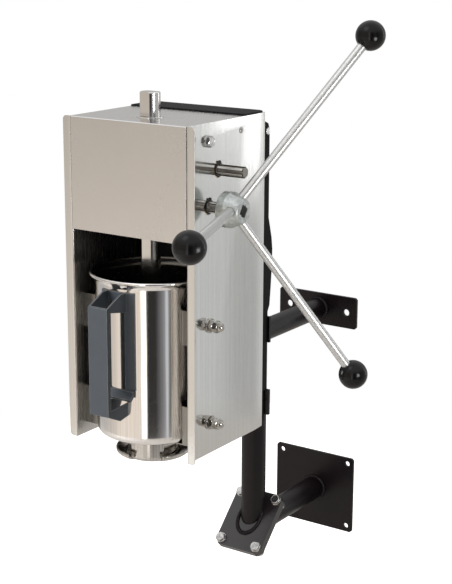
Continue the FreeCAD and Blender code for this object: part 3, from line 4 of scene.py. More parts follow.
import bmesh
import bpy
import numpy as np
from mathutils import Matrix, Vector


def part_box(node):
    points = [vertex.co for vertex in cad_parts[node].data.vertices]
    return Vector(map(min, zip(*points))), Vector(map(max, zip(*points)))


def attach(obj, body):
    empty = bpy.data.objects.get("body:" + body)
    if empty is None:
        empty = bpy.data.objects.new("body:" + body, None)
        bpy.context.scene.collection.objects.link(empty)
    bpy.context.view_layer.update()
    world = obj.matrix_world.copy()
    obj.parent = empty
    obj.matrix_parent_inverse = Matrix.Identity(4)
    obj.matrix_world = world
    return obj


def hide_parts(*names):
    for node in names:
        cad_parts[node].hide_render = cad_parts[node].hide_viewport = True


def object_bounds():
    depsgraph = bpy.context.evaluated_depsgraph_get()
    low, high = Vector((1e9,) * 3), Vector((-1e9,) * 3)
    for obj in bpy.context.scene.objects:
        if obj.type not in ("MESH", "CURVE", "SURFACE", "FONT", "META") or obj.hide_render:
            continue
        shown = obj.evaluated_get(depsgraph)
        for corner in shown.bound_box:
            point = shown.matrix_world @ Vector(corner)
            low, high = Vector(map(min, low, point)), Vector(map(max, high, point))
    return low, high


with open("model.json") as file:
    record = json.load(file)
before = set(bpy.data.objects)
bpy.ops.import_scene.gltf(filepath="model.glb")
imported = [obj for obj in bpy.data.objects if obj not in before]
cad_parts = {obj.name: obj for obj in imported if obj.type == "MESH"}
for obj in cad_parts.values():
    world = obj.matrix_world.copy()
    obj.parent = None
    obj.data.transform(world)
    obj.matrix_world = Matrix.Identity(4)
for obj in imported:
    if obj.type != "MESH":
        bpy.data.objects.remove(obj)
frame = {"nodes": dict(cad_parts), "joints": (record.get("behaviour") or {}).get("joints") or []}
cad_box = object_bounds()
node = frame["nodes"]
scene = bpy.context.scene

# The camera stands where the photograph was taken from: right of the machine's front, at the height of
# its top, looking a little down. Places are metres in the machine's own frame.

CAMERA_PLACE = (1.4555, -2.4985, 1.1670)
CAMERA_YAW, CAMERA_PITCH, CAMERA_ROLL = 34.07, 14.32, 0.24
camera = bpy.data.objects.new("camera", bpy.data.cameras.new("camera"))
camera.data.sensor_fit = "VERTICAL"
camera.data.sensor_height = 36
camera.data.lens = 88.25
camera.data.clip_end = 200
turn = (
    Matrix.Rotation(math.radians(CAMERA_YAW), 3, "Z")
    @ Matrix.Rotation(math.radians(90 - CAMERA_PITCH), 3, "X")
    @ Matrix.Rotation(math.radians(CAMERA_ROLL), 3, "Z")
)
camera.location = CAMERA_PLACE
camera.rotation_euler = turn.to_euler()
scene.collection.objects.link(camera)
scene.camera = camera
scene.view_settings.view_transform = "Standard"

# The studio is a pale floor under a soft tent of light. The tent is warm at the front left, has a white
# strip, a dark gap and a cool strip at the front right, and a bright strip in the grey at the right rear.


class Wire:
    """A socket of a shader tree; Python's operators on it add Math nodes, also with a number on the left."""

    def __init__(self, tree, socket):
        self.tree, self.socket = tree, socket

    def math(self, operation, *values):
        return add_node(self.tree, "ShaderNodeMath", {"operation": operation}, dict(enumerate(values)))

    def __add__(self, other):
        return self.math("ADD", self, other)

    __radd__ = __add__

    def __sub__(self, other):
        return self.math("SUBTRACT", self, other)

    def __rsub__(self, other):
        return self.math("SUBTRACT", other, self)

    def __mul__(self, other):
        return self.math("MULTIPLY", self, other)

    __rmul__ = __mul__

    def __truediv__(self, other):
        return self.math("DIVIDE", self, other)

    def between(self, low, high):
        """0 at low, 1 at high, smooth between them; low may be the larger one."""
        return add_node(
            self.tree, "ShaderNodeMapRange", {"interpolation_type": "SMOOTHSTEP"},
            {"Value": self, "From Min": low, "From Max": high},
        )


def add_node(tree, kind, settings, inputs, output=0):
    """Adds a node: its settings first, then its sockets' values or wires. Gives one output as a wire."""
    made = tree.nodes.new(kind)
    for name, value in settings.items():
        if name == "stops":
            ramp = made.color_ramp
            while len(ramp.elements) < len(value):
                ramp.elements.new(0.5)
            for element, (place, colour) in zip(ramp.elements, value):
                element.position = place
                element.color = (*colour, 1)
        else:
            setattr(made, name, value)
    for name, value in inputs.items():
        socket = made.inputs[name]
        if isinstance(value, Wire):
            tree.links.new(value.socket, socket)
        elif isinstance(value, tuple) and len(value) == 3 and socket.type == "RGBA":
            socket.default_value = (*value, 1)
        else:
            socket.default_value = value
    return Wire(tree, made.outputs[output]) if len(made.outputs) else None


def blend(tree, share, first, second):
    """The first colour where the share is 0, the second where it is 1."""
    return add_node(tree, "ShaderNodeMix", {"data_type": "RGBA"}, {0: share, 6: first, 7: second}, 2)


def start_tree(owner):
    """The emptied shader tree of a material or of the world."""
    owner.use_nodes = True
    owner.node_tree.nodes.clear()
    return owner.node_tree


WARM, STRIP, COOL = (0.88, 0.79, 0.70), (2.3, 2.2, 2.1), (0.62, 0.64, 0.68)
GAP, SIDE, BACK = (0.03, 0.029, 0.028), (0.42, 0.415, 0.41), (0.50, 0.49, 0.48)
BLAZE, LOW_SIDE, LOW_REAR = (2.9, 2.9, 2.9), (0.43, 0.425, 0.42), (0.74, 0.735, 0.73)
TENT = [  # degrees from +X toward +Y, and the light's colour there
    (-180, BACK), (-137, (0.70, 0.63, 0.56)), (-126, WARM), (-76, WARM),
    (-73.5, STRIP), (-66, STRIP), (-63.5, GAP), (-46, GAP),
    (-34, (0.18, 0.18, 0.19)), (-27, (0.30, 0.30, 0.31)), (-24, COOL), (-21.5, COOL),
    (-18, (0.19, 0.18, 0.17)), (-2, (0.10, 0.095, 0.09)), (6, SIDE), (47, (0.56, 0.565, 0.56)),
    (56, (0.73, 0.735, 0.73)), (58.1, (0.78, 0.78, 0.78)), (58.9, BLAZE), (62.8, BLAZE),
    (65, BACK), (180, BACK),
]
ROOF, BLACK, WHITE = (1.0, 1.0, 1.0), (0.0, 0.0, 0.0), (1.0, 1.0, 1.0)
world = bpy.data.worlds.new("tent")
scene.world = world
tree = start_tree(world)
direction = add_node(tree, "ShaderNodeTexCoord", {}, {}, "Generated")
add_node(tree, "ShaderNodeSeparateXYZ", {}, {0: direction})
along_x, along_y, along_z = (Wire(tree, socket) for socket in tree.nodes[-1].outputs)
around = along_y.math("ARCTAN2", along_y, along_x) / (2 * math.pi) + 0.5
tent_stops = [((angle + 180) / 360, colour) for angle, colour in TENT]
tent_light = add_node(tree, "ShaderNodeValToRGB", {"stops": tent_stops}, {0: around})

# Around runs from 0 at -180 degrees to 1 at 180. The tent's front left dims toward its top; low at the right
# rear it is duller than above, and the camera alone sees pure white.

front_share = around.between(0.34, 0.28) * along_z.between(-0.30, -0.04)
tent_light = blend(tree, front_share * 0.34, tent_light, BLACK)
low_light = blend(tree, around.between(0.672, 0.682), LOW_SIDE, LOW_REAR)
rear_share = around.between(0.6565, 0.662) * around.between(0.74, 0.70) * along_z.between(-0.12, -0.20)
tent_light = blend(tree, rear_share, tent_light, low_light)
lit = blend(tree, along_z.between(0.25, 0.75), tent_light, ROOF)
seen = add_node(tree, "ShaderNodeLightPath", {}, {}, "Is Camera Ray")
background = add_node(tree, "ShaderNodeBackground", {}, {"Color": blend(tree, seen, lit, WHITE)})
add_node(tree, "ShaderNodeOutputWorld", {}, {"Surface": background})


def grid_faces(rows, columns, closed):
    """Four corners of every cell of a grid of points, as rows of point numbers."""
    last = columns if closed else columns - 1
    row, column = np.meshgrid(np.arange(rows - 1), np.arange(last), indexing="ij")
    right = (column + 1) % columns
    near, far = row * columns, (row + 1) * columns
    return np.stack([near + column, near + right, far + right, far + column], axis=-1).reshape(-1, 4)


def build_piece(name, surfaces, sharp=35):
    """One mesh of several grids, each given as (points by row and column, closed across its columns or not).
    Points that meet are merged, the faces are turned outwards, and edges over the sharp angle stay crisp."""
    points, faces, start = [], [], 0
    for grid, closed in surfaces:
        points.append(grid.reshape(-1, 3))
        faces.append(grid_faces(*grid.shape[:2], closed) + start)
        start += grid.shape[0] * grid.shape[1]
    points, faces = np.concatenate(points), np.concatenate(faces)
    mesh = bpy.data.meshes.new(name)
    mesh.vertices.add(len(points))
    mesh.vertices.foreach_set("co", points.astype(np.float32).ravel())
    mesh.loops.add(faces.size)
    mesh.loops.foreach_set("vertex_index", faces.astype(np.int32).ravel())
    mesh.polygons.add(len(faces))
    mesh.polygons.foreach_set("loop_start", np.arange(0, faces.size, 4, dtype=np.int32))
    mesh.update(calc_edges=True)
    shape = bmesh.new()
    shape.from_mesh(mesh)
    bmesh.ops.remove_doubles(shape, verts=shape.verts, dist=2e-6)
    bmesh.ops.recalc_face_normals(shape, faces=shape.faces)
    crease(shape, sharp)
    shape.to_mesh(mesh)
    shape.free()
    piece = bpy.data.objects.new(name, mesh)
    scene.collection.objects.link(piece)
    return piece


def crease(shape, sharp):
    """Smooth faces, with a hard line only where two of them meet at more than the sharp angle."""
    for face in shape.faces:
        face.smooth = True
    for edge in shape.edges:
        edge.smooth = len(edge.link_faces) == 2 and edge.calc_face_angle(0) < math.radians(sharp)


FLOOR_DROP, FLOOR_RADIUS = 0.36, 2.2
floor_radii = np.linspace(0, FLOOR_RADIUS, 12)[:, None]
floor_turn = np.linspace(0, 2 * math.pi, 96, endpoint=False)[None, :]
floor_height = cad_box[0][2] - FLOOR_DROP
floor = build_piece("studio_floor", [(np.stack([
    floor_radii * np.cos(floor_turn), floor_radii * np.sin(floor_turn) - 0.4,
    floor_height + 0 * floor_radii * floor_turn,
], axis=-1), True)])
floor_paint = bpy.data.materials.new("studio_floor")
tree = start_tree(floor_paint)
place = add_node(tree, "ShaderNodeTexCoord", {}, {}, "Object")
mottle = add_node(tree, "ShaderNodeTexNoise", {}, {"Vector": place, "Scale": 3.0, "Detail": 4.0})
seen = add_node(tree, "ShaderNodeLightPath", {}, {}, "Is Camera Ray")
floor_shader = add_node(tree, "ShaderNodeBsdfPrincipled", {}, {
    "Base Color": blend(tree, mottle, (0.58, 0.55, 0.52), (0.64, 0.61, 0.58)), "Roughness": 0.85,
    "Emission Color": blend(tree, seen, BLACK, WHITE), "Emission Strength": 1.0,
})
add_node(tree, "ShaderNodeOutputMaterial", {}, {"Surface": floor_shader})
floor.data.materials.append(floor_paint)


def softbox(name, azimuth, elevation, distance, width, height, brightness, mirrored=True, diffused=True):
    """A rectangular light aimed at the machine's middle; brightness is its radiance, set by its power. It can
    be left out of mirror reflections, or of the light that dull surfaces scatter."""
    middle = np.array([0, -0.5, 0.6])
    flat, up = math.radians(azimuth), math.radians(elevation)
    away = np.array([math.cos(up) * math.cos(flat), math.cos(up) * math.sin(flat), math.sin(up)])
    lamp = bpy.data.lights.new(name, "AREA")
    lamp.shape = "RECTANGLE"
    lamp.size, lamp.size_y = width, height
    lamp.energy = brightness * math.pi * width * height
    light = bpy.data.objects.new(name, lamp)
    light.location = middle + distance * away
    light.rotation_euler = (math.pi / 2 - up, 0, flat + math.pi / 2)
    light.visible_camera = False
    light.visible_glossy, light.visible_diffuse = mirrored, diffused
    scene.collection.objects.link(light)


softbox("side_softbox", -13, -2, 1.45, 0.42, 0.42, 11.0, diffused=False)
softbox("top_softbox", -100, 62, 2.2, 1.0, 1.0, 1.2)
softbox("front_softbox", -118, 8, 2.4, 1.4, 1.4, 8.0, mirrored=False)

# Wall bracket: two wall plates, a post and two tubes of drawn steel, welded together, with a bolted 45
# degree flange pair at the foot of the post. It is sprayed a satin black with a brown cast; the sloping
# flanges take a lighter, glossier copy of the paint, a painted sheen where the light falls on them.


def object_place(tree, scale=(1, 1, 1)):
    """Object coordinates, stretched along each axis."""
    place = add_node(tree, "ShaderNodeTexCoord", {}, {}, "Object")
    return add_node(tree, "ShaderNodeVectorMath", {"operation": "MULTIPLY"}, {0: place, 1: scale})


def noise(tree, place, scale, detail):
    """Soft noise of 0 to 1, with about that many blotches to the metre."""
    return add_node(tree, "ShaderNodeTexNoise", {}, {"Vector": place, "Scale": scale, "Detail": detail})


def bumps(tree, height, depth):
    """A normal from a height of 0 to 1 that stands for the given depth in metres."""
    return add_node(tree, "ShaderNodeBump", {}, {"Height": height, "Distance": depth, "Strength": 1.0})


def finish(tree, inputs):
    """Ends a material with one Principled shader that has these inputs."""
    shader = add_node(tree, "ShaderNodeBsdfPrincipled", {}, inputs)
    add_node(tree, "ShaderNodeOutputMaterial", {}, {"Surface": shader})


def new_material(name):
    """A material and its empty tree."""
    made = bpy.data.materials.new(name)
    return made, start_tree(made)


def dress(material, *names):
    """Gives CAD nodes their material."""
    for name in names:
        mesh = node[name].data
        mesh.materials.clear()
        mesh.materials.append(material)


def sprayed_paint(name, colour, worn, roughness, peel, gloss=0.25):
    """Sprayed paint: fine orange peel, a cloudy gloss, and a thin scatter of dust that lies paler."""
    made, tree = new_material(name)
    place = object_place(tree)
    cloud = noise(tree, place, 14, 4)
    dust = noise(tree, place, 900, 2).between(0.62, 0.78)
    finish(tree, {
        "Base Color": blend(tree, cloud.between(0.45, 0.8) * 0.6 + dust * 0.25, colour, worn),
        "Roughness": cloud * 0.14 + (roughness - 0.07) + dust * 0.1, "Specular IOR Level": gloss,
        "Normal": bumps(tree, noise(tree, place, 420, 2), peel),
    })
    return made


PEEL_DEPTH = 0.00012
bracket_paint = sprayed_paint(
    "bracket_paint", (0.0050, 0.0028, 0.0038), (0.011, 0.0075, 0.0090), 0.36, PEEL_DEPTH
)
# A lighter, glossier copy of the bracket paint: painted sheen on the sloping flanges.
lit_flange_paint = sprayed_paint(
    "lit_flange_paint", (0.0060, 0.0036, 0.0048), (0.014, 0.0100, 0.0120), 0.30, PEEL_DEPTH, 0.95
)
dress(bracket_paint, "lower_wall_plate", "upper_wall_plate", "lower_tube", "post", "upper_tube",
      "upper_post_plate", "lower_post_plate")
dress(lit_flange_paint, "upper_mitre_flange", "lower_mitre_flange")


def take_place(piece, body, slot, *names):
    """The piece rides on a body and stands for the named nodes, if any; slot is not used."""
    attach(piece, body)
    if names:
        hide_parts(*names)
    return piece


EDGE_ANGLE = 24


def eased_copy(name, body, slot, material, width):
    """A copy of a node with its flat areas joined and its sharp edges rounded by a bevel of that width."""
    mesh = bpy.data.meshes.new(f"{name}_eased")
    shape = bmesh.new()
    shape.from_mesh(node[name].data)
    bmesh.ops.remove_doubles(shape, verts=shape.verts, dist=1e-5)
    bmesh.ops.dissolve_limit(shape, angle_limit=math.radians(0.5), verts=shape.verts, edges=shape.edges)
    bmesh.ops.recalc_face_normals(shape, faces=shape.faces)
    crease(shape, EDGE_ANGLE)
    shape.to_mesh(mesh)
    shape.free()
    mesh.materials.append(material)
    piece = bpy.data.objects.new(f"{name}_eased", mesh)
    scene.collection.objects.link(piece)
    bevel = piece.modifiers.new("rounded_edges", "BEVEL")
    bevel.width, bevel.segments = width, 2
    bevel.limit_method, bevel.angle_limit = "ANGLE", math.radians(EDGE_ANGLE)
    bevel.harden_normals = True
    bevel.use_clamp_overlap = True
    return take_place(piece, body, slot, name)


for name, paint in (
    ("lower_wall_plate", bracket_paint), ("upper_wall_plate", bracket_paint),
    ("upper_mitre_flange", lit_flange_paint), ("lower_mitre_flange", lit_flange_paint),
    ("upper_post_plate", bracket_paint), ("lower_post_plate", bracket_paint),
):
    eased_copy(name, "frame", "bracket_paint", paint, 0.0008)

# Weld beads of the bracket, laid by hand round each tube in overlapping ripples and painted over with it.

WELD_RADIUS, WELD_PITCH, WELD_POINTS = 0.0042, 0.0036, 220
PLATE_WELD_ASIDE, PLATE_WELD_BEHIND, PLATE_WELD_SHORT = 0.011, 0.0012, 0.004
FLANGE_GAUGE = 0.008


def cell_size(name):
    """A node's lowest and highest corner and the middle between them."""
    low, high = (np.array(corner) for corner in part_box(name))
    return low, high, (low + high) / 2


def carried(path, closed, radius):
    """A tube along a path: a ring of points square to the path at each of its points. radius is an array."""
    ahead = np.roll(path, -1, axis=0) - np.roll(path, 1, axis=0) if closed else np.gradient(path, axis=0)
    ahead = ahead / np.linalg.norm(ahead, axis=1, keepdims=True)
    middle = path.mean(axis=0)
    side = np.cross(ahead, path - middle + 1e-9)
    side = side / np.linalg.norm(side, axis=1, keepdims=True)
    up = np.cross(side, ahead)
    angle = np.linspace(0, 2 * math.pi, 12, endpoint=False)[None, :, None]
    ring = np.cos(angle) * side[:, None, :] + np.sin(angle) * up[:, None, :]
    tube = path[:, None, :] + radius[:, None, None] * ring
    return np.concatenate([tube, tube[:1]]) if closed else tube


def bead(path, closed):
    """A weld bead: the path's tube swells and narrows in ripples, with a slow drift of a hand's pace."""
    step = np.linalg.norm(np.diff(path, axis=0, append=path[:1] if closed else path[-1:]), axis=1)
    run = np.concatenate([[0], np.cumsum(step)[:-1]])
    if closed:
        run = run * (round(step.sum() / WELD_PITCH) * WELD_PITCH / step.sum())
    ripple = np.abs(np.sin(math.pi * run / WELD_PITCH))
    drift = np.sin(2 * math.pi * run / step.sum() * 3) if closed else np.sin(run * 90)
    radius = WELD_RADIUS * (0.82 + 0.2 * ripple + 0.06 * drift)
    if not closed:
        ends = np.minimum(1, np.minimum(np.arange(len(path)), np.arange(len(path))[::-1]) / 4)
        radius = radius * np.sqrt(ends)
    return carried(path, closed, radius), True


def sloping_ring(centre, radius):
    """A ring about the post's axis cut by a plane that slopes 45 degrees along Y: the post's foot."""
    angle = np.linspace(0, 2 * math.pi, WELD_POINTS, endpoint=False)
    across, along = radius * np.cos(angle), radius * np.sin(angle)
    return np.array(centre) + np.stack([across, along, along], axis=-1)


def wall_ring(tube, plate, radius):
    """A ring about a tube that runs along Y, on the front face of its wall plate."""
    angle = np.linspace(0, 2 * math.pi, WELD_POINTS, endpoint=False)
    middle = cell_size(tube)[2]
    face = cell_size(plate)[0][1]
    return np.stack([
        middle[0] + radius * np.cos(angle), np.full_like(angle, face), middle[2] + radius * np.sin(angle)
    ], axis=-1)


post_low, post_high, post_middle = cell_size("post")
post_radius = (post_high[0] - post_low[0]) / 2
upper_low, upper_high, upper_middle = cell_size("upper_tube")
upper_radius = (upper_high[0] - upper_low[0]) / 2
flange_middle = cell_size("upper_mitre_flange")[2]
lower_flange_middle = cell_size("lower_mitre_flange")[2]
half_gauge = FLANGE_GAUGE / 2 * math.sqrt(2)
weld_paths = [
    (wall_ring("lower_tube", "lower_wall_plate", post_radius), True),
    (wall_ring("upper_tube", "upper_wall_plate", upper_radius), True),
    (sloping_ring((post_middle[0], flange_middle[1], flange_middle[2] + half_gauge), post_radius), True),
]
ellipse = sloping_ring((0, 0, 0), post_radius)
weld_paths.append((np.array([0, lower_flange_middle[1] + half_gauge, lower_flange_middle[2]])
                   + np.stack([ellipse[:, 0], ellipse[:, 2], ellipse[:, 1]], axis=-1), True))
saddle = np.linspace(0, 2 * math.pi, WELD_POINTS, endpoint=False)
saddle_x, saddle_z = upper_radius * np.cos(saddle), upper_radius * np.sin(saddle)
weld_paths.append((np.stack([
    saddle_x, post_middle[1] + np.sqrt(post_radius ** 2 - saddle_x ** 2), upper_middle[2] + saddle_z
], axis=-1), True))
for plate in ("upper_post_plate", "lower_post_plate"):
    low, high, middle = cell_size(plate)
    for side in (-1, 1):
        rise = np.linspace(low[2] + PLATE_WELD_SHORT, high[2] - PLATE_WELD_SHORT, 60)
        weld_paths.append((np.stack([
            np.full_like(rise, side * PLATE_WELD_ASIDE), np.full_like(rise, high[1] + PLATE_WELD_BEHIND), rise
        ], axis=-1), False))
welds = build_piece("bracket_welds", [bead(path, closed) for path, closed in weld_paths])
welds.data.materials.append(bracket_paint)
take_place(welds, "frame", "bracket_paint")

# Flange bolts: four M10 bolts of bright zinc through the sloping flanges, each with a washer above and a
# nut below, from which the thread stands out.


def turned(profile, around=72, flats=None):
    """A turned shape about +Z: rings of the profile's radii and heights, cut by six flats if they are given
    by their distance from the axis."""
    angle = np.linspace(0, 2 * math.pi, around, endpoint=False)
    radius = np.array(profile)[:, :1] * np.ones_like(angle)
    if flats:
        radius = np.minimum(radius, flats / np.cos((angle + math.pi / 6) % (math.pi / 3) - math.pi / 6))
    height = np.array(profile)[:, 1:] * np.ones_like(angle)
    return np.stack([radius * np.cos(angle), radius * np.sin(angle), height], axis=-1)


def rounded(*corners, steps=6):
    """A profile in which every corner given as (radius, height, rounding) becomes a short curve."""
    spots = np.array([corner[:2] for corner in corners], float)
    line = [spots[0]]
    for index in range(1, len(spots) - 1):
        size = corners[index][2] if len(corners[index]) > 2 else 0
        before, here, after = spots[index - 1], spots[index], spots[index + 1]
        if not size:
            line.append(here)
            continue
        back = (before - here) / np.linalg.norm(before - here) * size
        on = (after - here) / np.linalg.norm(after - here) * size
        share = np.linspace(0, 1, steps)[:, None]
        line.extend(here + (1 - share) ** 2 * back + share ** 2 * on)
    line.append(spots[-1])
    return np.array(line)


def hex_head(across, height):
    """Bolt head or closed nut: flat sides, corners turned off at 30 degrees, a low washer face on top."""
    half = across / 2
    corner, edge, top = half / math.cos(math.pi / 6), half * 0.94, height - 0.0002
    drop = (corner - edge) * math.tan(math.radians(30))
    side = np.linspace(0, 1, 9)[:, None]
    profile = np.concatenate([
        [(0, 0), (corner, 0)],
        np.array([corner, 0]) + side[1:] * np.array([0, height - drop]),
        np.array([corner, height - drop]) + side[1:] * np.array([edge - corner, drop]),
        [(half * 0.9, height), (half * 0.86, top), (0, top)],
    ])
    return turned(profile, 96, half)


def hex_ring(across, height, bore):
    """An open nut: both ends turned off at 30 degrees, with a countersink round the thread."""
    half, sink = across / 2, 0.0008
    corner, edge = half / math.cos(math.pi / 6), half * 0.95
    drop = (corner - edge) * math.tan(math.radians(30))
    side = np.linspace(0, 1, 7)[:, None]
    profile = np.concatenate([
        [(bore, sink), (bore + sink, 0), (edge, 0)],
        np.array([edge, 0]) + side[1:] * np.array([corner - edge, drop]),
        np.array([corner, drop]) + side[1:] * np.array([0, height - 2 * drop]),
        np.array([corner, height - drop]) + side[1:] * np.array([edge - corner, drop]),
        [(bore + sink, height), (bore, height - sink), (bore, sink)],
    ])
    return turned(profile, 96, half)


def thread(radius, pitch, low, high, around=32):
    """A screw thread: the radius falls and rises once a pitch, and the ridge climbs as it goes round."""
    count = int((high - low) / pitch * 8) + 2
    height = np.linspace(low, high, count)[:, None]
    angle = np.linspace(0, 2 * math.pi, around, endpoint=False)[None, :]
    share = (height / pitch - angle / (2 * math.pi)) % 1
    ridge = radius - pitch * 0.55 * np.abs(2 * share - 1)
    end = np.minimum(1, (high - height) / (0.8 * pitch))
    ridge = np.minimum(ridge, radius - pitch * (1 - end) * 0.8)
    grid = np.stack([ridge * np.cos(angle), ridge * np.sin(angle), height + 0 * angle], axis=-1)
    cap = np.zeros((1, around, 3))
    cap[..., 2] = high
    return np.concatenate([grid, cap])


def set_at(grid, place, direction, spin=0.0):
    """Moves a shape made about +Z so that +Z points in a direction at a place, spun about itself."""
    up = np.array(direction, float) / np.linalg.norm(direction)
    hint = np.array([1.0, 0, 0]) if abs(up[0]) < 0.9 else np.array([0, 1.0, 0])
    side = np.cross(up, hint)
    side = side / np.linalg.norm(side)
    other = np.cross(up, side)
    across = math.cos(spin) * side + math.sin(spin) * other
    along = np.cross(up, across)
    return np.array(place) + grid @ np.stack([across, along, up])


def plated_metal(name, colour, roughness, cast):
    """Zinc plate: bright grey with a cloudy gloss, small pits, and darker dirt in clouds."""
    made, tree = new_material(name)
    place = object_place(tree)
    cloud = noise(tree, place, 160, 5)
    pits = noise(tree, place, 1300, 2)
    finish(tree, {
        "Base Color": blend(tree, cloud.between(0.3, 0.75), colour, cast),
        "Metallic": 1.0,
        "Roughness": cloud * 0.22 + roughness - 0.1,
        "Normal": bumps(tree, pits, 0.00003),
    })
    return made


zinc = plated_metal("zinc_plate", (0.70, 0.70, 0.69), 0.20, (0.36, 0.35, 0.34))
dress(zinc, "flange_bolts", "cover_screws", "rear_bolts", "tie_rods", "guide_bolts",
      "support_bolts", "support_dome_nuts", "piston_nut", "hub_set_screw")

SLOPE_UP = np.array([0, -1, 1]) / math.sqrt(2)
SLOPE_ALONG = np.array([0, 1, 1]) / math.sqrt(2)
BOLT_ACROSS, BOLT_ALONG = 0.041, 0.052
M10_ACROSS, M10_HEAD, M10_NUT, M10_WASHER = 0.017, 0.0064, 0.008, 0.002
M10_RADIUS, M10_PITCH, M10_BORE, M10_WASHER_RADIUS = 0.005, 0.0015, 0.0046, 0.0105
flange_axis = (flange_middle + lower_flange_middle) / 2
flange_surfaces = []
for across in (-1, 1):
    for along in (-1, 1):
        seat = flange_axis + across * BOLT_ACROSS * np.array([1, 0, 0]) + along * BOLT_ALONG * SLOPE_ALONG
        top, foot = seat + FLANGE_GAUGE * SLOPE_UP, seat - FLANGE_GAUGE * SLOPE_UP
        spin = 0.35 * across + 0.9 * along
        washer_profile = rounded(
            (0, 0), (M10_WASHER_RADIUS, 0, 0.0002), (M10_WASHER_RADIUS, M10_WASHER, 0.0004), (0, M10_WASHER)
        )
        flange_surfaces += [
            (set_at(turned(washer_profile), top, SLOPE_UP), True),
            (set_at(hex_head(M10_ACROSS, M10_HEAD), top + M10_WASHER * SLOPE_UP, SLOPE_UP, spin), True),
            (set_at(hex_ring(M10_ACROSS, M10_NUT, M10_BORE), foot, -SLOPE_UP, spin), True),
            (set_at(thread(M10_RADIUS, M10_PITCH, 0, 0.0115), foot, -SLOPE_UP), True),
        ]
flange_piece = build_piece("flange_bolt_set", flange_surfaces, 24)
flange_piece.data.materials.append(zinc)
take_place(flange_piece, "frame", "zinc_fastener", "flange_bolts")

# Rear casting and spine: one grey iron casting behind the body and a welded column on its back, both
# sprayed black. The spine's cross bolt and its bolts to the post are plain zinc plated steel.

casting_paint = sprayed_paint(
    "casting_paint", (0.0060, 0.0060, 0.0064), (0.014, 0.014, 0.014), 0.60, 0.0003, 0.12
)
dress(casting_paint, "rear_casting", "spine")

# Side panels: 2 mm stainless sheet, folded outward at the front and leaning in at the rear. The grain is
# brushed up and down, and shows as fine upright streaks that spread a reflection sideways.


def brushed_steel(name, colour, cast, roughness, stretch, depth, streaks, inner_shade=None):
    """Brushed sheet: two sizes of streak run along the grain and change the tone, the gloss and the slope.
    stretch holds, for each axis, how many streaks there are to a metre. Faces that look toward the machine's
    middle plane are rougher, as that side isn't polished, and take the darker shade colour if one is given:
    painted shade inside the housing."""
    made, tree = new_material(name)
    wide = noise(tree, object_place(tree, tuple(0.12 * value for value in stretch)), 1.0, 3)
    fine = noise(tree, object_place(tree, stretch), 1.0, 4)
    cloud = noise(tree, object_place(tree), 9, 3)
    tone = blend(tree, wide * streaks + cloud * (1 - streaks), colour, cast)
    if inner_shade:
        # Faces turned to the middle plane take the darker colour, painted shade inside the housing, and are
        # rougher.
        facing = add_node(tree, "ShaderNodeNewGeometry", {}, {}, "Normal")
        outward = add_node(tree, "ShaderNodeVectorMath", {"operation": "MULTIPLY"}, {0: facing, 1: (8, 0, 0)})
        inward_shade_and_dull = add_node(
            tree, "ShaderNodeVectorMath", {"operation": "DOT_PRODUCT"}, {0: outward, 1: object_place(tree)},
            "Value",
        )
        inward_shade_and_dull = inward_shade_and_dull.between(-0.2, -0.6)
        tone = blend(tree, inward_shade_and_dull, tone, inner_shade)
        wide = wide + inward_shade_and_dull * 1.3
    inputs = {
        "Base Color": tone,
        "Metallic": 1.0,
        "Roughness": wide * 0.10 + fine * 0.12 + roughness - 0.11,
    }
    if depth:
        inputs["Normal"] = bumps(tree, fine, depth)
    finish(tree, inputs)
    return made


panel_steel = brushed_steel(
    "panel_steel", (0.82, 0.82, 0.805), (0.62, 0.625, 0.61), 0.13, (1500, 1500, 7), 0.00003, 0.75,
    # The last colour is painted shade for the faces that look into the housing.
    (0.66, 0.65, 0.62),
)
dress(panel_steel, "left_side_panel", "right_side_panel")
for name in ("left_side_panel", "right_side_panel"):
    eased_copy(name, "frame", "panel_steel", panel_steel, 0.0005)

# Front cover: 1.5 mm stainless sheet folded round the front and the top, with a satin mirror finish that
# mottles a little, held by small screws at the sides.

cover_steel = brushed_steel("cover_steel", (0.78, 0.77, 0.76), (0.72, 0.71, 0.70), 0.26, (60, 60, 30), 0, 0.5)
dress(cover_steel, "front_cover")
eased_copy("front_cover", "frame", "cover_steel", cover_steel, 0.0004)

# Gearbox: milled plates, ground shafts in bronze bushes and cut gears with a film of grease. The cover
# hides them; the two splined shaft ends with their black retaining rings stand out at the right.

machined = brushed_steel(
    "machined_steel", (0.56, 0.56, 0.56), (0.44, 0.44, 0.45), 0.34, (300, 300, 300), 0.00004, 0.5
)
dress(machined, "gearbox_floor", "left_gear_plate", "middle_gear_plate", "right_gear_plate",
      "top_guide_block", "spacer_tubes", "pinion_shaft_spacers", "crank_shaft_spacers")
bronze = plated_metal("bush_bronze", (0.62, 0.42, 0.20), 0.34, (0.45, 0.28, 0.12))
dress(bronze, "shaft_bushes", "lower_guide_bush")


joints = {joint["name"]: joint for joint in frame["joints"]}


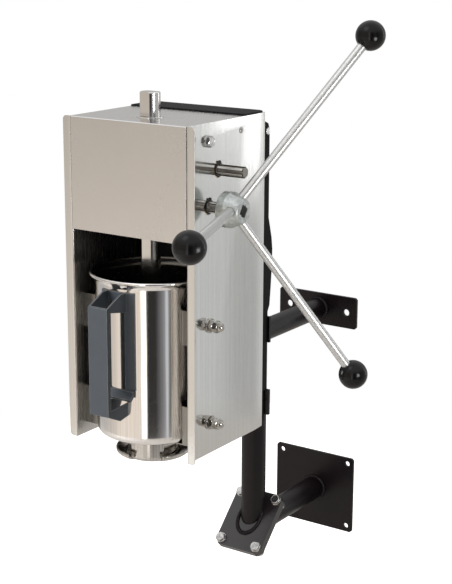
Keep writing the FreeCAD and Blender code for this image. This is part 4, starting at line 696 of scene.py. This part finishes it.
def oiled_shaded_shaft(name, joint, shaft):
    """Ground steel: bright on the splines' crests, darker brown in the grooves between them, old oil with
    painted shade, and black on their flanks, painted shade. The distance from the shaft's axis tells crests,
    flanks and grooves apart."""
    made, tree = new_material(name)
    axis = tuple(joints[joint]["pos_m"])
    low, high, _ = cell_size(shaft)
    crest = (high[2] - low[2]) / 2
    centred = add_node(
        tree, "ShaderNodeVectorMath", {"operation": "SUBTRACT"}, {0: object_place(tree), 1: axis}
    )
    square = add_node(tree, "ShaderNodeVectorMath", {"operation": "MULTIPLY"}, {0: centred, 1: (0, 1, 1)})
    reach = add_node(tree, "ShaderNodeVectorMath", {"operation": "LENGTH"}, {0: square}, "Value")
    streak = noise(tree, object_place(tree, (40, 900, 900)), 1.0, 3)
    # Darker grooves are old oil and painted shade; the black flanks are painted shade.
    groove_oil_and_shade = reach.between(crest - 0.0004, crest - 0.0018)
    flank_shade = reach.between(crest - 0.0019, crest - 0.0014) * reach.between(crest - 0.0001, crest - 0.0006)
    tone = blend(tree, groove_oil_and_shade * (streak * 0.6 + 0.55), (0.72, 0.70, 0.67), (0.20, 0.18, 0.155))
    finish(tree, {
        "Base Color": blend(tree, flank_shade, tone, (0.02, 0.018, 0.016)),
        "Metallic": 1.0,
        "Roughness": streak * 0.2 + 0.16 + groove_oil_and_shade * 0.1,
        "Normal": bumps(tree, streak, 0.00002),
    })
    return made


dress(oiled_shaded_shaft("pinion_shaft_steel", "pinion_turn", "pinion_shaft"), "pinion_shaft")
dress(oiled_shaded_shaft("crank_shaft_steel", "crank_turn", "crank_shaft"), "crank_shaft")
gear_steel = plated_metal("gear_steel", (0.30, 0.29, 0.28), 0.36, (0.16, 0.15, 0.14))
dress(gear_steel, "drive_gear", "large_gear", "rack_pinion", "pinion_shaft_keys", "drive_gear_key")
ring_steel = sprayed_paint("ring_steel", (0.012, 0.012, 0.013), (0.04, 0.04, 0.042), 0.32, 0.00005)
dress(ring_steel, "pinion_shaft_rings", "crank_shaft_rings")

# Ram: a ground stainless rod with a flat in front and the rack's teeth behind, and an aluminium piston
# with a white rubber seal on its lower end.

rod_steel = brushed_steel(
    "rod_steel", (0.80, 0.79, 0.77), (0.70, 0.69, 0.67), 0.14, (700, 700, 8), 0.00002, 0.5
)
dress(rod_steel, "rack_rod", "rod_scraper_ring")
aluminium = brushed_steel(
    "piston_aluminium", (0.70, 0.70, 0.71), (0.58, 0.58, 0.59), 0.30, (500, 500, 500), 0.00003, 0.4
)
dress(aluminium, "piston")


def moulded_rubber(name, colour, dirt):
    """Food grade rubber: dull, slightly uneven, a little grey with use."""
    made, tree = new_material(name)
    cloud = noise(tree, object_place(tree), 60, 4)
    finish(tree, {
        "Base Color": blend(tree, cloud, colour, dirt), "Roughness": cloud * 0.2 + 0.5,
        "Normal": bumps(tree, noise(tree, object_place(tree), 900, 2), 0.00005),
    })
    return made


seal_rubber = moulded_rubber("seal_rubber", (0.72, 0.72, 0.68), (0.52, 0.51, 0.47))
dress(seal_rubber, "piston_seal")

# Cylinder: spun and polished stainless, with a rounded foot and a rim flared out and rolled over. Faint
# scratches run up and down it, and it mirrors the studio.

cylinder_low, _, cylinder_middle = cell_size("cylinder")
rim_low, rim_high, _ = cell_size("cylinder_rim")
CYLINDER_RADIUS, CYLINDER_WALL, FOOT_ROUND = 0.098, 0.0015, 0.012
RIM_BEAD, RIM_FLARE, FLARE_FOOT = 0.0031, 0.0131, 0.016
NECK_HOLE, WALL_ROWS = 0.040, 24


def bow(centre, radius, start, stop, steps):
    """Points of an arc, by its centre, radius and two angles in degrees."""
    angle = np.radians(np.linspace(start, stop, steps))
    return np.array(centre) + radius * np.stack([np.cos(angle), np.sin(angle)], axis=-1)


height = rim_high[2] - cylinder_low[2]
foot_centre = (CYLINDER_RADIUS - FOOT_ROUND, FOOT_ROUND)
flare_centre = (CYLINDER_RADIUS + RIM_FLARE, height - FLARE_FOOT)
bead_centre = ((rim_high[0] - rim_low[0]) / 2 - RIM_BEAD, height - RIM_BEAD)
wall_foot, wall_top = FOOT_ROUND + 0.004, height - FLARE_FOOT - 0.002
cylinder_profile = np.concatenate([
    [(NECK_HOLE, CYLINDER_WALL), (NECK_HOLE, 0)],
    bow(foot_centre, FOOT_ROUND, -90, 0, 14),
    np.stack([np.full(WALL_ROWS, CYLINDER_RADIUS), np.linspace(wall_foot, wall_top, WALL_ROWS)], axis=-1),
    bow(flare_centre, RIM_FLARE, 180, 128, 12),
    bow(bead_centre, RIM_BEAD, 236, 540, 30),
    bow(flare_centre, RIM_FLARE + CYLINDER_WALL, 128, 180, 12),
    np.stack([
        np.full(WALL_ROWS, CYLINDER_RADIUS - CYLINDER_WALL), np.linspace(wall_top, wall_foot, WALL_ROWS)
    ], axis=-1),
    bow(foot_centre, FOOT_ROUND - CYLINDER_WALL, 0, -90, 14),
    [(NECK_HOLE, CYLINDER_WALL)],
])
ram_axis = np.array([cylinder_middle[0], cylinder_middle[1], cylinder_low[2]])


def polished_steel(name, colour, cast, roughness, scratches, depth=0.0006, axis=None):
    """Mirror polish: long faint scratches, a few crossing marks, and a slow waviness of the sheet. Faces that
    look toward an axis, if one is given, are the inside of a vessel: use has dulled them, and their dark
    colour is painted shade."""
    made, tree = new_material(name)
    lines = noise(tree, object_place(tree, (420, 420, 3)), 1.0, 3)
    marks = noise(tree, object_place(tree, (90, 90, 600)), 1.0, 4).between(0.66, 0.74)
    wave = noise(tree, object_place(tree, (14, 14, 5)), 1.0, 2)
    tone = blend(tree, lines.between(0.35, 0.8), colour, cast)
    gloss = lines * scratches + marks * 0.12 + roughness
    if axis:
        outward = add_node(
            tree, "ShaderNodeVectorMath", {"operation": "SUBTRACT"}, {0: object_place(tree), 1: axis}
        )
        outward = add_node(
            tree, "ShaderNodeVectorMath", {"operation": "MULTIPLY"}, {0: outward, 1: (10, 10, 0)}
        )
        facing = add_node(tree, "ShaderNodeNewGeometry", {}, {}, "Normal")
        inner_shade = add_node(
            tree, "ShaderNodeVectorMath", {"operation": "DOT_PRODUCT"}, {0: outward, 1: facing}, "Value"
        )
        # Faces turned to the axis take a dark colour, painted shade inside the vessel, and are dulled by use.
        inner_shade = inner_shade.between(0.05, -0.25)
        tone = blend(tree, inner_shade, tone, (0.24, 0.235, 0.225))
        gloss = gloss + inner_shade * 0.12
    inputs = {"Base Color": tone, "Metallic": 1.0, "Roughness": gloss}
    if depth:
        inputs["Normal"] = bumps(tree, lines * 0.03 + wave, depth)
    finish(tree, inputs)
    return made


mirror_steel = polished_steel(
    "mirror_steel", (0.86, 0.84, 0.82), (0.74, 0.72, 0.70), 0.045, 0.10, axis=tuple(ram_axis)
)
cylinder = build_piece("spun_cylinder", [(ram_axis + turned(cylinder_profile, 256), True)], 50)
cylinder.data.materials.append(mirror_steel)
take_place(cylinder, "frame", "polished_steel", "cylinder", "cylinder_rim", "cylinder_floor")
dress(mirror_steel, "cylinder", "cylinder_rim", "cylinder_floor")

# Outlet neck: a stainless casting, polished, with a wing at each side for the die's bayonet cap. Its edges
# are as soft as a casting's.


def cast_copy(name, piece_name, voxel, rounds):
    """A copy of a node as a casting would have it: rebuilt on a fine grid, then smoothed so edges soften."""
    mesh = bpy.data.meshes.new(piece_name)
    shape = bmesh.new()
    shape.from_mesh(node[name].data)
    bmesh.ops.remove_doubles(shape, verts=shape.verts, dist=1e-5)
    shape.to_mesh(mesh)
    shape.free()
    rough = bpy.data.objects.new(piece_name, mesh)
    scene.collection.objects.link(rough)
    remesh = rough.modifiers.new("grid", "REMESH")
    remesh.mode, remesh.voxel_size = "VOXEL", voxel
    smooth = rough.modifiers.new("soften", "SMOOTH")
    smooth.factor, smooth.iterations = 0.5, rounds
    bpy.context.view_layer.update()
    made = bpy.data.meshes.new_from_object(rough.evaluated_get(bpy.context.evaluated_depsgraph_get()))
    rough.modifiers.clear()
    rough.data = made
    made.name = piece_name
    made.polygons.foreach_set("use_smooth", np.ones(len(made.polygons), dtype=bool))
    made.materials.clear()
    return rough


neck_steel = polished_steel("neck_steel", (0.60, 0.58, 0.55), (0.36, 0.34, 0.32), 0.09, 0.14)
neck = cast_copy("outlet_neck", "polished_neck", 0.0008, 5)
neck.data.materials.append(neck_steel)
take_place(neck, "frame", "neck_steel", "outlet_neck")
dress(neck_steel, "outlet_neck")

# Handle: a channel of 3 mm sheet with open cheeks, and a strap on the cylinder that curls forward below.
# It is sprayed a dark satin blue-grey, and its cut edges are worn to the metal; their light bare colour is
# also a painted highlight along the edges.


def worn_lit_edge_paint(name, colour, worn, worn_lit_edge_colour):
    """Satin paint worn to the metal on the edges of the sheet, where the light bare colour is also a painted
    highlight.
    """
    made, tree = new_material(name)
    place = object_place(tree)
    cloud = noise(tree, place, 40, 4)
    rounded_normal = add_node(tree, "ShaderNodeBevel", {"samples": 6}, {"Radius": 0.0013})
    normal = add_node(tree, "ShaderNodeNewGeometry", {}, {}, "Normal")
    bent = add_node(
        tree, "ShaderNodeVectorMath", {"operation": "DOT_PRODUCT"}, {0: rounded_normal, 1: normal}, "Value"
    )
    # Bare metal on the sheet's edges: wear, and also a painted highlight.
    worn_lit_edge = (bent + (cloud - 0.5) * 0.12).between(0.93, 0.80)
    finish(tree, {
        "Base Color": blend(tree, worn_lit_edge, blend(tree, cloud, colour, worn), worn_lit_edge_colour),
        "Metallic": worn_lit_edge * 0.7,
        "Roughness": cloud * 0.16 + 0.34 - worn_lit_edge * 0.08,
        "Normal": bumps(tree, noise(tree, place, 700, 2), 0.00008),
    })
    return made


handle_paint = worn_lit_edge_paint("handle_paint", (0.056, 0.067, 0.080), (0.043, 0.053, 0.065), (0.50, 0.48, 0.44))
dress(handle_paint, "cylinder_handle")
eased_copy("cylinder_handle", "frame", "handle_paint", handle_paint, 0.0004)

# Supports: bent stainless channels inside the panels that grip the cylinder at two heights. They are bolted
# through the panels and have a dull brushed finish, darkened well below the sheet's as painted shade inside
# the housing.

# Darkened steel: painted shade inside the housing.
support_steel = brushed_steel(
    "support_steel", (0.34, 0.33, 0.31), (0.22, 0.215, 0.20), 0.24, (500, 500, 8), 0.00004, 0.5
)
dress(support_steel, "upper_supports", "lower_supports")

# Support nuts: at each bolt a washer, a nut and a cap nut of polished zinc on the outside of the panel.

M12_ACROSS, M12_BORE, WASHER_RADIUS, WASHER_GAUGE = 0.019, 0.0055, 0.013, 0.0025
NUT_HEIGHT, CAP_HEIGHT, LOW_HEAD, HEAD_BEHIND, PANEL_GAUGE = 0.008, 0.018, 0.005, 0.004, 0.002
bolt_low, bolt_high, bolt_middle = cell_size("support_bolts")
panel_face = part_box("front_cover")[1][0] + PANEL_GAUGE
support_heights = (bolt_low[2] + WASHER_RADIUS, bolt_high[2] - WASHER_RADIUS)


def cap_nut():
    """A cap nut: a hexagon with its corners turned off, a short neck and a ball top."""
    half = M12_ACROSS / 2
    corner, edge, neck = half / math.cos(math.pi / 6), half * 0.95, half * 0.93
    ball = half * 0.90
    base, low_drop, high_drop = CAP_HEIGHT * 0.5, 0.0010, 0.0016
    side = np.linspace(0, 1, 7)[:, None]
    profile = np.concatenate([
        [(0, 0), (edge, 0)],
        np.array([edge, 0]) + side[1:] * np.array([corner - edge, low_drop]),
        np.array([corner, low_drop]) + side[1:] * np.array([0, base - low_drop - high_drop]),
        np.array([corner, base - high_drop]) + side[1:] * np.array([neck - corner, high_drop]),
        bow((0, CAP_HEIGHT - ball), ball, 8, 90, 16),
    ])
    return turned(profile, 96, half)


support_surfaces, cap_surfaces = [], []
washer_profile = rounded(
    (0, 0), (WASHER_RADIUS, 0, 0.0003), (WASHER_RADIUS, WASHER_GAUGE, 0.0006), (0, WASHER_GAUGE)
)
for side in (-1, 1):
    outward = np.array([side, 0, 0])
    for index, height in enumerate(support_heights):
        face = np.array([side * panel_face, bolt_middle[1], height])
        spin = 0.3 + 0.5 * index
        nut = hex_ring(M12_ACROSS, NUT_HEIGHT, M12_BORE)
        support_surfaces += [
            (set_at(turned(washer_profile), face, outward), True),
            (set_at(nut, face + WASHER_GAUGE * outward, outward, spin), True),
            (set_at(hex_head(M12_ACROSS, LOW_HEAD), face - HEAD_BEHIND * outward, -outward, spin), True),
        ]
        seat = face + (WASHER_GAUGE + NUT_HEIGHT) * outward
        cap_surfaces.append((set_at(cap_nut(), seat, outward, spin + 0.4), True))
bright_zinc = plated_metal("bright_zinc", (0.56, 0.54, 0.51), 0.10, (0.22, 0.20, 0.18))
support_nuts = build_piece("support_nut_set", support_surfaces, 24)
support_nuts.data.materials.append(bright_zinc)
take_place(support_nuts, "frame", "zinc_fastener", "support_bolts")
cap_nuts = build_piece("support_cap_nuts", cap_surfaces, 24)
cap_nuts.data.materials.append(bright_zinc)
take_place(cap_nuts, "frame", "zinc_fastener", "support_dome_nuts")

# Guide bolts: an M10 bolt of zinc plated steel with a wide washer on each side, which holds the rod's upper
# guide inside the cover. The thread runs inward through the panel.

GUIDE_WASHER_RADIUS, GUIDE_BOLT_LENGTH = 0.010, 0.1
guide_middle = cell_size("guide_bolts")[2]
guide_surfaces = []
guide_washer = rounded(
    (0, 0), (GUIDE_WASHER_RADIUS, 0, 0.0003), (GUIDE_WASHER_RADIUS, M10_WASHER, 0.0005), (0, M10_WASHER)
)
for side in (-1, 1):
    outward = np.array([side, 0, 0])
    face = np.array([side * panel_face, guide_middle[1], guide_middle[2]])
    guide_surfaces += [
        (set_at(turned(guide_washer), face, outward), True),
        (set_at(hex_head(M10_ACROSS, M10_HEAD), face + M10_WASHER * outward, outward, 0.25), True),
        (set_at(thread(M10_RADIUS, M10_PITCH, 0, GUIDE_BOLT_LENGTH), face, -outward), True),
    ]
guide_bolts = build_piece("guide_bolt_set", guide_surfaces, 24)
guide_bolts.data.materials.append(zinc)
take_place(guide_bolts, "frame", "zinc_fastener", "guide_bolts")

# Cover screws: zinc plated pan heads with a cross recess, two on each side, which hold the cover's lips to
# the panels.

SCREW_RADIUS, SCREW_HEAD, RECESS_DEPTH, SLOT_HALF, SLOT_REACH = 0.0056, 0.0024, 0.0015, 0.0006, 0.0027
screw_low, screw_high, _ = cell_size("cover_screws")


def cross_head():
    """A low dome on a polar grid; where a point lies inside one of two crossed slots, it sinks."""
    share = np.linspace(0, 1, 34)[:, None]
    angle = np.linspace(0, 2 * math.pi, 96, endpoint=False)[None, :]
    radius = SCREW_RADIUS * share
    across, along = radius * np.cos(angle), radius * np.sin(angle)
    dome = SCREW_HEAD * np.sqrt(np.clip(1 - (share * 0.995) ** 2 * 0.98, 0, 1)) + 0 * angle

    def slot(width_side, length_side):
        inside = np.clip((SLOT_HALF - np.abs(width_side)) / 0.00025, 0, 1)
        return inside * np.clip((SLOT_REACH - np.abs(length_side)) / 0.0006, 0, 1)

    sunk = np.maximum(slot(across, along), slot(along, across))
    top = np.stack([across, along, dome - RECESS_DEPTH * sunk], axis=-1)
    foot = top[-1:].copy()
    foot[..., 2] = 0
    return np.concatenate([top, foot])


screw_surfaces = []
for side in (-1, 1):
    for depth, height in ((screw_low[1] + SCREW_RADIUS, screw_low[2] + SCREW_RADIUS),
                          (screw_high[1] - SCREW_RADIUS, screw_high[2] - SCREW_RADIUS)):
        face = np.array([side * panel_face, depth, height])
        screw_surfaces.append((set_at(cross_head(), face, (side, 0, 0), 0.5 + side * 0.4), True))
cover_screws = build_piece("cover_screw_set", screw_surfaces, 40)
cover_screws.data.materials.append(zinc)
take_place(cover_screws, "frame", "zinc_fastener", "cover_screws")

# Crank: a cast hub, zinc plated and cloudy, with three bright drawn rods and three glossy black ball
# knobs screwed on their ends.

hub_plate = plated_metal("hub_plate", (0.56, 0.59, 0.58), 0.36, (0.36, 0.38, 0.37))
hub = cast_copy("crank_hub", "cast_hub", 0.0006, 6)
hub.data.materials.append(hub_plate)
take_place(hub, "crank", "hub_plate", "crank_hub")
dress(hub_plate, "crank_hub")
arm_steel = polished_steel("arm_steel", (0.67, 0.675, 0.67), (0.56, 0.56, 0.55), 0.36, 0.04, 0)
dress(arm_steel, "crank_arm_1", "crank_arm_2", "crank_arm_3")

crank_axis = np.array(joints["crank_turn"]["pos_m"])
ARM_MEET, ARM_LENGTH, ARM_TILT, ARM_PHASE = 0.1694, 0.364, math.radians(24.35), math.radians(57.2)
KNOB_RADIUS, KNOB_MOUTH, KNOB_BORE = 0.025, 0.0109, 0.0081


def knob_profile():
    """A ball with a flat mouth for the rod, a rounded lip round it, and a short bore."""
    open_angle = math.degrees(math.asin(KNOB_MOUTH / KNOB_RADIUS))
    ball = bow((0, 0), KNOB_RADIUS, -90 + open_angle + 2, 90, 48)
    mouth = -KNOB_RADIUS * math.cos(math.radians(open_angle))
    lip = rounded(
        (KNOB_BORE, mouth + 0.006), (KNOB_BORE, mouth, 0.0006), (KNOB_MOUTH, mouth, 0.0008), tuple(ball[0])
    )
    return np.concatenate([lip[:-1], ball])


def bakelite(name):
    """Moulded black plastic with a polished skin: fine swirl marks and a few dull touches."""
    made, tree = new_material(name)
    place = object_place(tree)
    swirl = noise(tree, place, 260, 3)
    touch = noise(tree, place, 45, 4).between(0.55, 0.8)
    finish(tree, {
        "Base Color": blend(tree, touch, (0.004, 0.004, 0.0042), (0.009, 0.009, 0.009)),
        "Roughness": touch * 0.08 + swirl * 0.04 + 0.16, "Specular IOR Level": 0.25,
        "Normal": bumps(tree, swirl, 0.00002),
    })
    return made


knob_plastic = bakelite("knob_plastic")
dress(knob_plastic, "knob_1", "knob_2", "knob_3")
for index in range(3):
    phase = ARM_PHASE + index * 2 * math.pi / 3
    toward = np.array([
        math.sin(ARM_TILT), math.cos(ARM_TILT) * math.cos(phase), math.cos(ARM_TILT) * math.sin(phase)
    ])
    centre = crank_axis + np.array([ARM_MEET, 0, 0]) + ARM_LENGTH * toward
    ball = set_at(turned(knob_profile(), 96), centre, toward)
    knob = build_piece(f"ball_knob_{index + 1}", [(ball, True)], 40)
    knob.data.materials.append(knob_plastic)
    take_place(knob, "crank", "knob_plastic", f"knob_{index + 1}")
